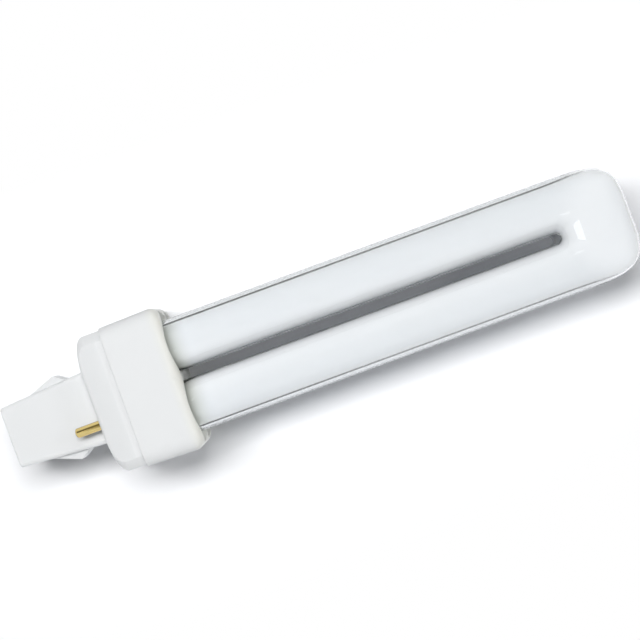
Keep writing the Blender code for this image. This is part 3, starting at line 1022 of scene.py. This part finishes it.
    def bridge_surface(self) -> np.ndarray:
        """Draw the short bridge between the closed legs.

        Round the bridge, each end lies on the leg: it stands
        sqrt(R ** 2 - (r cos a) ** 2) from the leg's axis. Its radius r grows
        by the fillet times t ** 6, for t from -1 to 1 along the bridge.

        Returns:
            Rings from the lower leg to the upper leg.
        """
        angle = np.arange(self.bridge_sides) * 2 * np.pi / self.bridge_sides
        t = np.linspace(-1, 1, self.bridge_steps)[:, None]
        radius = self.bridge_radius + self.bridge_fillet * t**6
        leg = self.layout.leg_radius - self.bridge_sink
        end = self.layout.leg_offset - np.sqrt(leg**2 - (radius * np.cos(angle)) ** 2)
        grid = np.empty((len(t), len(angle), 3))
        grid[..., 0] = self.layout.front + self.bridge_place + radius * np.sin(angle)
        grid[..., 1] = self.layout.leg_offset + radius * np.cos(angle)
        grid[..., 2] = t * end
        return grid

    def make(self, glass: bpy.types.Material, coating: bpy.types.Material) -> list:
        """Build the glass walls, the coating inside them and the bridge.

        Args:
            glass: material of the clear wall.
            coating: material of the powder coating.

        Returns:
            The new pieces.
        """
        wall, powder, bridge = Skin(), Skin(), Skin()
        for which in Side:
            wall.add_closed(self.u_surface(0.0, which))
            wall.add_closed(self.u_surface(self.wall, which), hollow=True)
            powder.add_closed(self.u_surface(self.wall + self.coating_gap, which))
        bridge.add_closed(self.bridge_surface())
        pieces = []
        for skin, name, finish in (
            (wall, "tube_glass", glass),
            (powder, "tube_coating", coating),
            (bridge, "tube_bridge", coating),
        ):
            piece = skin.build(name, self.crease)
            pieces.append(dress(piece, finish, "coated_glass", "discharge_tube"))
        return pieces


@dataclass
class FrontHousing:
    """Square moulded housing with four flared leg holes."""

    layout: Layout
    corner: float = 4.6 * MM
    wall: float = 1.6 * MM
    draft: float = 0.35 * MM
    front_wall: float = 3.4 * MM
    edge_run: float = 2.4 * MM
    edge_drop: float = 3.2 * MM
    flare_width: float = 3.0 * MM
    flare_depth: float = 3.0 * MM
    hole_gap: float = 0.1 * MM
    web_edge: float = 0.1 * MM
    web_ease: float = 0.3 * MM
    lip: float = 0.18 * MM
    rear_round: float = 0.1 * MM
    wall_shares: tuple = (0.0, 0.25, 0.5, 0.75)
    steps: int = 40
    front_rings: int = 60
    back_rings: int = 5
    crease: float = 38.0
    weld: float = 1e-6

    @property
    def hole(self) -> float:
        """Return the radius of each leg hole."""
        return self.layout.leg_radius + self.hole_gap

    def front_height(self, y: np.ndarray, z: np.ndarray) -> np.ndarray:
        """Work out how far forward the front stands at each (y, z) of one quarter.

        From the outline inward the edge is a quarter of an ellipse, and the
        flare is a cone about the leg. The lower of the two holds, with a
        small round where they meet. The flare stops short of the web
        between the legs, eased by smooth((min(y, z) - w) / e).

        Args:
            y: places across the lamp.
            z: places up the lamp.

        Returns:
            Place of the front along X.
        """
        over = np.stack([y, z]) - (self.layout.housing_half - self.corner)
        most = over.max(axis=0)
        out = np.where(most > 0, np.linalg.norm(np.maximum(over, 0), axis=0), most)
        t = np.clip(1 - (self.corner - out) / self.edge_drop, 0.0, 1.0)
        edge = -self.edge_run * (1 - np.sqrt(1 - t**2))
        reach = np.hypot(y - self.layout.leg_offset, z - self.layout.leg_offset)
        cone = (reach - self.hole) * self.flare_depth / self.flare_width - self.flare_depth
        web = self.layout.leg_offset - self.hole - self.web_edge
        ease = smooth(np.clip((np.minimum(y, z) - web) / self.web_ease, 0.0, 1.0))
        cone = np.where(cone < 0, cone * ease, cone)
        blend = np.clip(0.5 + (cone - edge) / (2 * self.lip), 0.0, 1.0)
        lower = cone + (edge - cone) * blend - self.lip * blend * (1 - blend)
        return self.layout.front + lower

    def quarter_loop(self, half: float, corner: float) -> np.ndarray:
        """Draw the loop round one quarter, along the axis planes and the outline.

        Args:
            half: half width of the outline.
            corner: its corner radius.

        Returns:
            Points in Y and Z.
        """
        t = np.arange(self.steps) / self.steps
        zero = np.zeros(self.steps)
        return np.concatenate([
            np.stack([t * half, zero], -1),
            quarter_outline(half, half, corner, self.steps),
            np.stack([zero, (1 - t) * half], -1),
        ])

    def spread(self, half: float, corner: float, t: np.ndarray) -> np.ndarray:
        """Draw rings from the leg hole's rim to the loop round the quarter.

        A ray leaves the leg's axis at each angle, and a ring lies at each
        share t of the way from the rim to the loop.

        Args:
            half: half width of the outline.
            corner: its corner radius.
            t: share of the way for each ring.

        Returns:
            Array of rings by points by 2, in Y and Z.
        """
        loop = self.quarter_loop(half, corner)
        ray = loop - self.layout.leg_offset
        length = np.linalg.norm(ray, axis=1, keepdims=True)
        rim = self.layout.leg_offset + ray / length * self.hole
        return rim + (loop - rim) * t[:, None, None]

    def quarter_skin(self) -> np.ndarray:
        """Draw one quarter's skin: the inner face, the hole and the front.

        Returns:
            Array of rings by points by 3.
        """
        inner = self.draft + self.wall
        inward = np.linspace(1, 0, self.back_rings)
        back = self.spread(self.layout.housing_half - inner, self.corner - inner, inward)
        inside = np.full(back.shape[:2] + (1,), self.layout.front - self.front_wall)
        ease = (1 - np.cos(np.linspace(0, np.pi, self.front_rings))) / 2
        front = self.spread(self.layout.housing_half, self.corner, ease)
        height = self.front_height(front[..., 0], front[..., 1])[..., None]
        return np.concatenate([
            np.concatenate([inside, back], axis=-1), np.concatenate([height, front], axis=-1)
        ])

    def wall_rings(self) -> np.ndarray:
        """Draw the drafted outer wall, its rear edge and the cavity.

        Returns:
            Array of rings by points by 3.
        """
        shoulder = self.layout.front - self.edge_run
        span = shoulder - self.layout.parting
        edge, draft = self.rear_round, self.draft
        inner = draft + self.wall
        stations = [(shoulder - t * span, t * draft) for t in self.wall_shares]
        for turn in np.radians(EDGE_TURNS):
            bend = edge * (1 - np.cos(turn))
            stations.append((self.layout.parting + edge * (1 - np.sin(turn)), draft + bend))
        stations += [
            (self.layout.parting, inner - edge),
            (self.layout.parting + edge, inner),
            (self.layout.front - self.front_wall, inner),
        ]
        rings = []
        for x, inset in stations:
            half = self.layout.housing_half - inset
            outline = quarter_outline(half, half, self.corner - inset, self.steps)
            rings.append(full_ring(x, outline))
        return np.array(rings)

    def make(self, plastic: bpy.types.Material) -> bpy.types.Object:
        """Build the housing from four mirrored quarters and its walls.

        Args:
            plastic: the moulded plastic.

        Returns:
            The finished housing.
        """
        skin = Skin()
        quarter = self.quarter_skin()
        for sign_y in (1, -1):
            for sign_z in (1, -1):
                skin.add_grid(quarter * [1, sign_y, sign_z])
        skin.add_grid(self.wall_rings())
        piece = skin.build("housing_shell", self.crease, self.weld, turn=True)
        return dress(piece, plastic, "white_plastic", "front_housing")


@dataclass
class BaseCap:
    """Shoulder cap with its spigot, hollow post, latch ridges and pin holes."""

    layout: Layout
    parting_gap: float = 0.015 * MM
    chamfer: float = 2.3 * MM
    chamfer_flat: float = 0.8
    wall: float = 1.6 * MM
    bevel: float = 5.6 * MM
    fall: float = 2.1 * MM
    shoulder_round: float = 3.0 * MM
    shoulder_edge: float = 0.8 * MM
    rim_round: float = 0.1 * MM
    spigot_half: float = 14.85 * MM
    spigot_corner: float = 2.7 * MM
    spigot_length: float = 3.0 * MM
    inner_half: float = 13.65 * MM
    post_end_half: float = 7.25 * MM
    post_neck_half: float = 8.85 * MM
    post_thick_half: float = 7.5 * MM
    post_corner: float = 1.2 * MM
    post_wall: float = 1.4 * MM
    post_round: float = 0.45 * MM
    latch_start: float = 7.3 * MM
    latch_apex: float = 13.8 * MM
    latch_end: float = 16.6 * MM
    latch_height: float = 2.0 * MM
    latch_half: float = 5.2 * MM
    latch_edge: float = 0.3 * MM
    bevel_round: float = 0.15 * MM
    neck_clearance: float = 0.02 * MM
    post_turns: tuple = (90, 68, 45, 22, 0)
    post_steps: int = 72
    shoulder_steps: int = 22
    steps: int = 24
    tolerance: float = 1e-6
    crease: float = 34.0

    def half_y(self, x: float) -> float:
        """Work out the shoulder's half width: an elliptic round from the post.

        Args:
            x: place along the lamp.

        Returns:
            Half width there.
        """
        t = min((x - self.layout.rear) / self.shoulder_round, 1.0)
        reach = self.layout.cap_half - self.post_neck_half
        return self.post_neck_half + reach * math.sqrt(1 - (1 - t) ** 2)

    def half_z(self, x: float) -> float:
        """Work out the shoulder's half height: a small edge, then a long bevel.

        Args:
            x: place along the lamp.

        Returns:
            Half height there.
        """
        edge = min((x - self.layout.rear) / self.shoulder_edge, 1.0)
        slope = min((x - self.layout.rear) / self.bevel, 1.0)
        round_off = self.shoulder_edge * (1 - math.sqrt(1 - (1 - edge) ** 2))
        return self.layout.cap_half - self.fall * (1 - slope) - round_off

    def ring(self, x: float, y: float, z: float, corner: float, flat: float = 0.0) -> np.ndarray:
        """Return one ring of the cap across X."""
        return full_ring(x, quarter_outline(y, z, corner, self.steps, flat))

    def post_rings(self) -> list:
        """Draw the post's outer rings, from its free end to the shoulder.

        On each narrow side the latch ridge adds h(x) . w(z): a long ramp, an
        apex and a short back, and a flat width with eased ends.

        Returns:
            List of rings.
        """
        rear, edge = self.layout.rear, self.post_round
        rings = []
        turns = np.radians(self.post_turns)
        places = [(edge * (1 - math.sin(a)), edge * (1 - math.cos(a))) for a in turns]
        places += [(x, 0.0) for x in np.linspace(edge, rear, self.post_steps)[1:]]
        ridge_places = (self.latch_start, self.latch_apex, self.latch_end)
        for x, inset in places:
            half = self.post_end_half + (self.post_neck_half - self.post_end_half) * x / rear
            thick, corner = self.post_thick_half - inset, self.post_corner - inset / 2
            ring = self.ring(x, half - inset, thick, corner)
            rise = np.interp(x, ridge_places, (0, self.latch_height, 0))
            along = np.clip((self.latch_half - np.abs(ring[:, 2])) / self.latch_edge, 0.0, 1.0)
            on_side = np.abs(ring[:, 1]) > half - inset - self.tolerance
            ring[:, 1] += np.sign(ring[:, 1]) * rise * smooth(along) * on_side
            rings.append(ring)
        return rings

    def shoulder_rings(self) -> list:
        """Draw the shoulder's outer rings, from its rear face to the parting line.

        Returns:
            List of rings.
        """
        rear, edge = self.layout.rear, self.rim_round
        end = self.layout.parting - self.parting_gap
        t = np.linspace(0, 1, self.shoulder_steps)
        places = list(rear + t**2 * self.shoulder_round)
        bevel = rear + self.bevel
        places += [bevel - self.bevel_round, bevel + self.bevel_round, end - edge]
        rings = []
        for x in places:
            side = max(self.half_y(x), self.post_neck_half + self.neck_clearance)
            rings.append(self.ring(x, side, self.half_z(x), self.chamfer, self.chamfer_flat))
        for turn in np.radians(EDGE_TURNS[1:]):
            half = self.layout.cap_half - edge * (1 - math.cos(turn))
            x = end - edge * (1 - math.sin(turn))
            rings.append(self.ring(x, half, half, self.chamfer, self.chamfer_flat))
        return rings

    def inner_rings(self) -> list:
        """Draw the spigot, the cap's cavity and the post's cavity.

        Returns:
            List of rings.
        """
        parting = self.layout.parting
        end = parting - self.parting_gap
        corner, floor = self.spigot_corner, self.layout.rear + self.wall
        tip = parting + self.spigot_length
        inner_z = min(self.half_z(floor) - self.wall, self.inner_half)
        neck = self.post_neck_half - self.post_wall
        end_half = self.post_end_half - self.post_wall
        inside = self.post_thick_half - self.post_wall
        stations = (
            (end, self.spigot_half, self.spigot_half, corner),
            (tip, self.spigot_half, self.spigot_half, corner),
            (tip, self.inner_half, self.inner_half, corner),
            (floor + self.shoulder_round, self.inner_half, self.inner_half, corner),
            (floor, self.inner_half - self.wall, inner_z, corner),
            (floor, neck, inside, self.post_corner / 2),
            (self.post_wall, end_half, inside, self.post_corner / 2),
        )
        return [self.ring(*station) for station in stations]

    def make(self, plastic: bpy.types.Material, holes: list) -> bpy.types.Object:
        """Build the cap as one skin and cut its pin holes.

        Args:
            plastic: the moulded plastic.
            holes: grids of the round cutters for the pins.

        Returns:
            The finished cap.
        """
        skin = Skin()
        rings = self.post_rings() + self.shoulder_rings() + self.inner_rings()
        skin.add_closed(np.array(rings))
        piece = skin.build("shoulder_cap", self.crease)
        for index, grid in enumerate(holes):
            cutter = Skin()
            cutter.add_closed(grid)
            cut_out(piece, cutter.build(f"pin_cutter_{index}"))
        return dress(piece, plastic, "white_plastic", "base_cap")


class PinSide(Enum):
    """The two contact pins, each on its own broad side of the post."""

    A = 1
    B = -1


@dataclass
class ContactPins:
    """Hollow brass pins with a rounded nose and a flange inside the cap."""

    layout: Layout
    radius: float = 1.15 * MM
    reach: float = 6.2 * MM
    bore: float = 0.6 * MM
    side: float = 4.2 * MM
    height: float = 11.25 * MM
    flange: float = 1.6 * MM
    flange_thickness: float = 0.8 * MM
    tail: float = 1.6 * MM
    cap_wall: float = 1.6 * MM
    hole_gap: float = 0.12 * MM
    cut_past: float = 1.0 * MM
    edge: float = 0.08 * MM
    nose_start: float = 0.12
    nose_share: float = 0.6
    nose_steps: int = 14
    floor_share: float = 2.0
    seat_step: float = 0.01 * MM
    sides: int = 64
    crease: float = 40.0

    def place(self, pin: PinSide) -> tuple:
        """Return where a pin's axis stands across the lamp."""
        return -pin.value * self.side, pin.value * self.height

    def hole(self, pin: PinSide) -> np.ndarray:
        """Draw the round cutter for a pin's hole in the cap.

        Args:
            pin: which of the two pins.

        Returns:
            Its two rings.
        """
        y, z = self.place(pin)
        radius = self.radius + self.hole_gap
        start = self.layout.rear - self.cut_past
        end = self.layout.rear + self.cap_wall + self.cut_past
        return turned_grid([(start, radius), (end, radius)], y, z, self.sides)

    def make(self, pin: PinSide, brass: bpy.types.Material) -> bpy.types.Object:
        """Turn one hollow pin, with a rounded nose.

        Args:
            pin: which of the two pins.
            brass: the drawn brass.

        Returns:
            The finished pin.
        """
        nose = self.layout.rear - self.reach
        inner = self.layout.rear + self.cap_wall + self.layout.gap
        flange_end = inner + self.flange_thickness
        end = flange_end + self.tail
        turns = np.linspace(self.nose_start, np.pi / 2, self.nose_steps)
        run, edge = self.nose_share * self.radius, self.edge
        profile = [(nose + run * (1 - np.cos(a)), self.radius * np.sin(a)) for a in turns]
        profile += [
            (inner - self.seat_step, self.radius),
            (inner, self.radius + edge),
            (inner, self.flange - edge),
            (inner + edge, self.flange),
            (flange_end - edge, self.flange),
            (flange_end, self.flange - edge),
            (flange_end, self.radius),
            (end - edge, self.radius),
            (end, self.radius - edge),
            (end, self.bore + edge),
            (end - edge, self.bore),
            (nose + self.floor_share * self.radius, self.bore),
        ]
        y, z = self.place(pin)
        skin = Skin()
        skin.add_closed(turned_grid(profile, y, z, self.sides))
        letter = pin.name.lower()
        piece = skin.build(f"brass_pin_{letter}", self.crease)
        return dress(piece, brass, "brass", f"contact_pin_{letter}")


# Stage


BACKGROUND_RAYS = ("Is Camera Ray", "Is Glossy Ray", "Is Transmission Ray")


def lay_sheet(name: str, xs: tuple, ys: tuple, z: float) -> bpy.types.Object:
    """Lay a flat rectangle at one height.

    Args:
        name: name of the object.
        xs: where it starts and ends along X.
        ys: where it starts and ends along Y.
        z: how high it lies.

    Returns:
        The new object, without a material.
    """
    corners = [(xs[0], ys[0], z), (xs[1], ys[0], z), (xs[1], ys[1], z), (xs[0], ys[1], z)]
    mesh = bpy.data.meshes.new(name)
    mesh.from_pydata(corners, [], [(0, 1, 2, 3)])
    sheet = bpy.data.objects.new(name, mesh)
    bpy.context.scene.collection.objects.link(sheet)
    return sheet


@dataclass(frozen=True)
class SoftBox:
    """One soft rectangular lamp, aimed at the middle of the object.

    A plain box lights matt surfaces and shows in no reflection. A box that
    is for mirroring only shows in reflections and lights no matt surface.
    """

    name: str
    place: tuple
    size: tuple
    watts: float
    mirror_only: bool = False

    def make(self, target: Vector) -> None:
        """Hang the box with its long side along the lamp.

        Args:
            target: point that the box faces.
        """
        data = bpy.data.lights.new(self.name, "AREA")
        data.shape = "RECTANGLE"
        data.size, data.size_y = self.size
        data.energy = self.watts
        box = bpy.data.objects.new(self.name, data)
        box.visible_glossy = self.mirror_only
        box.visible_transmission = self.mirror_only
        box.visible_diffuse = not self.mirror_only
        bpy.context.scene.collection.objects.link(box)
        up = (Vector(self.place) - target).normalized()
        across = up.cross(Vector((1.0, 0.0, 0.0))).normalized()
        turned = Matrix((across.cross(up), across, up)).transposed().to_4x4()
        box.matrix_world = Matrix.Translation(self.place) @ turned


@dataclass(frozen=True)
class EdgeCard:
    """Grey card on the floor beside the lamp that only its glass shows.

    Clear glass on a white ground has an edge only where it shows something dark. The camera and
    the light pass the card by, so it is a painted dark reflection that darkens the glass's edges
    and nothing else.
    """

    side: int
    inner: float
    near_grey: float
    far_grey: float
    outer: float = 60.0 * MM
    turn_start: float = 34.0 * MM
    turn_end: float = 40.0 * MM
    length: tuple = (20.0 * MM, 150.0 * MM)
    mouth_shade_share: float = 0.45
    mouth_reach: tuple = (43.0 * MM, 100.0 * MM)
    lift: float = 0.2 * MM

    def make(self, floor_z: float) -> None:
        """Lay the card, lighter near the lamp and darker near the mouth, where it paints more
        shade into the glass.

        Args:
            floor_z: height of the floor.
        """
        ys = (self.side * self.inner, self.side * self.outer)
        card = lay_sheet("edge_card", self.length, ys, floor_z + self.lift)
        # Painted dark reflection: only glass shows the card; it lights nothing and casts no
        # shadow.
        card.visible_camera = card.visible_diffuse = card.visible_shadow = False
        sheet = NodeSheet("grey_card")
        away = sheet.math("ABSOLUTE", sheet.along("Y"))
        reach = sheet.fade(away, self.turn_start, self.turn_end)
        near, far = shade((self.near_grey,) * 3), (self.far_grey,) * 3
        grey = sheet.blend(reach, near, shade(far))
        # Painted shade in the reflection: darker towards the mouth.
        dark = sheet.blend(reach, near, shade(far, self.mouth_shade_share))
        colour = sheet.blend(sheet.fade(sheet.along("X"), *self.mouth_reach), dark, grey)
        sheet.paint(colour)
        sheet.set(Roughness=1.0, Specular_IOR_Level=0.0)
        card.data.materials.append(sheet.material)


@dataclass
class Studio:
    """Pale floor, soft light and the camera."""

    centre_x: float = 76.95 * MM
    centre_y: float = 1.15 * MM
    height: float = 450.3 * MM
    turn: float = -20.1
    focal: float = 107.49
    sensor: float = 36.0
    clip_start: float = 0.01
    floor_z: float = -17.15 * MM
    floor_size: float = 3.0
    floor_colour: tuple = (0.92, 0.925, 0.94)
    floor_lift: float = 1.10
    floor_bounce: float = 0.9
    white_from: float = 38.0 * MM
    white_at: float = 58.0 * MM
    white_past_ends: float = 15.0 * MM
    lamp_middle: float = 76.5 * MM
    world_colour: tuple = (0.94, 0.975, 1.0)
    world_strength: float = 0.12
    boxes: tuple = (
        SoftBox("key", place=(-0.02, 0.135, 0.60), size=(0.40, 0.14), watts=3.55),
        SoftBox("front", place=(0.60, 0.0, 0.45), size=(0.14, 0.16), watts=0.5),
        SoftBox("near_side", place=(0.10, -0.60, 0.045), size=(0.50, 0.11), watts=1.15),
        SoftBox("tip_side", place=(0.75, -0.10, 0.06), size=(0.30, 0.14), watts=0.6),
        SoftBox("window", (-0.21, 0.003, 0.60), (0.30, 0.10), watts=0.17, mirror_only=True),
    )
    # Painted dark reflections along the glass's edges.
    cards: tuple = (
        EdgeCard(side=1, inner=16.0 * MM, near_grey=0.93, far_grey=0.16),
        EdgeCard(side=-1, inner=38.0 * MM, near_grey=0.85, far_grey=0.31),
    )

    def make_camera(self) -> None:
        """Set the camera straight above the lamp, turned as in the photo."""
        data = bpy.data.cameras.new("camera")
        data.sensor_width = self.sensor
        data.lens = self.focal
        data.clip_start = self.clip_start
        camera = bpy.data.objects.new("camera", data)
        camera.location = (self.centre_x, self.centre_y, self.height)
        camera.rotation_euler = (0.0, 0.0, math.radians(self.turn))
        bpy.context.scene.collection.objects.link(camera)
        bpy.context.scene.camera = camera

    def make_floor(self) -> None:
        """Lay a plain floor that shows white and keeps the lamp's shadow."""
        half = self.floor_size / 2
        floor = lay_sheet("floor", (-half, half), (-half, half), self.floor_z)
        sheet = NodeSheet("paper_floor")
        sheet.tree.nodes.remove(sheet.shader)
        plain = sheet.add("ShaderNodeBsdfDiffuse")
        plain.inputs["Color"].default_value = shade(self.floor_colour, self.floor_bounce)
        seen = sheet.add("ShaderNodeBsdfDiffuse")
        seen.inputs["Color"].default_value = shade(self.floor_colour, self.floor_lift)
        mix = sheet.add("ShaderNodeMixShader")
        sheet.link(sheet.rays(*BACKGROUND_RAYS), mix.inputs[0])
        sheet.link(plain.outputs[0], mix.inputs[1])
        sheet.link(self.whitened(sheet, seen), mix.inputs[2])
        sheet.link(mix.outputs[0], sheet.output.inputs["Surface"])
        floor.data.materials.append(sheet.material)

    def whitened(self, sheet: NodeSheet, near: bpy.types.Node) -> bpy.types.NodeSocket:
        """Return the shaded paper that turns to plain white away from the lamp.

        The distance is the larger of |y| and the reach past the lamp's ends.

        Args:
            sheet: the floor's material.
            near: shader of the paper near the lamp, which shows its shadow.

        Returns:
            Output of the mixed shader.
        """
        middle = self.lamp_middle
        beyond = sheet.math("ABSOLUTE", sheet.math("SUBTRACT", sheet.along("X"), middle))
        beyond = sheet.math("SUBTRACT", beyond, middle + self.white_past_ends - self.white_from)
        away = sheet.math("MAXIMUM", sheet.math("ABSOLUTE", sheet.along("Y")), beyond)
        white = sheet.add("ShaderNodeEmission")
        mix = sheet.add("ShaderNodeMixShader")
        sheet.link(sheet.fade(away, self.white_from, self.white_at), mix.inputs[0])
        sheet.link(near.outputs[0], mix.inputs[1])
        sheet.link(white.outputs[0], mix.inputs[2])
        return mix.outputs[0]

    def make_lights(self) -> None:
        """Light the lamp evenly, with one soft key nearly overhead."""
        world = bpy.data.worlds.new("studio")
        bpy.context.scene.world = world
        world.use_nodes = True
        tree = world.node_tree
        back = tree.nodes["Background"]
        back.inputs["Color"].default_value = shade(self.world_colour)
        strength = tree.nodes.new("ShaderNodeMapRange")
        tree.links.new(rays_of(tree, BACKGROUND_RAYS), strength.inputs["Value"])
        strength.inputs["To Min"].default_value = self.world_strength
        strength.inputs["To Max"].default_value = 1.0
        tree.links.new(strength.outputs["Result"], back.inputs["Strength"])
        for box in self.boxes:
            box.make(Vector((self.centre_x, 0.0, 0.0)))

    def make(self) -> None:
        """Set up the camera, the floor, the lights and the view."""
        self.make_camera()
        self.make_floor()
        for card in self.cards:
            card.make(self.floor_z)
        self.make_lights()
        bpy.context.scene.view_settings.view_transform = "Standard"


# Whole lamp


INNER_FINISHES = {
    "tube_cement": SET_MASTIC,
    "starter_bulb": STARTER_GLASS,
    "filter_capacitor": DIPPED_LACQUER,
    "lead_sleeve": GlassFibreSleeve(),
    "crimp_ferrule": DrawnBrass(),
}


def dress_inner_parts() -> None:
    """Give each CAD node inside the housing its own finish."""
    made: dict = {}
    for name, node in sorted(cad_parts.items()):
        named = [look for start, look in INNER_FINISHES.items() if name.startswith(start)]
        if not named and "lead" not in name:
            continue
        look = named[0] if named else NICKEL_WIRE
        if look.name not in made:
            made[look.name] = look.make()
        for slot in node.material_slots:
            slot.material = made[look.name]
        log.info("%s: %s", name, look.name)


def main() -> None:
    """Build the lamp's visible pieces in order and report each of them."""
    logging.basicConfig(level=logging.INFO, format="%(name)s: %(message)s")
    layout = Layout()
    DischargeTube(layout).make(ClearTubeGlass().make(), PowderCoating().make())
    plastic = MouldedPlastic().make()
    FrontHousing(layout).make(plastic)
    pins = ContactPins(layout)
    BaseCap(layout).make(plastic, [pins.hole(pin) for pin in PinSide])
    brass = DrawnBrass().make()
    for pin in PinSide:
        pins.make(pin, brass)
    dress_inner_parts()
    Studio().make()


if __name__ == "__main__":
    main()
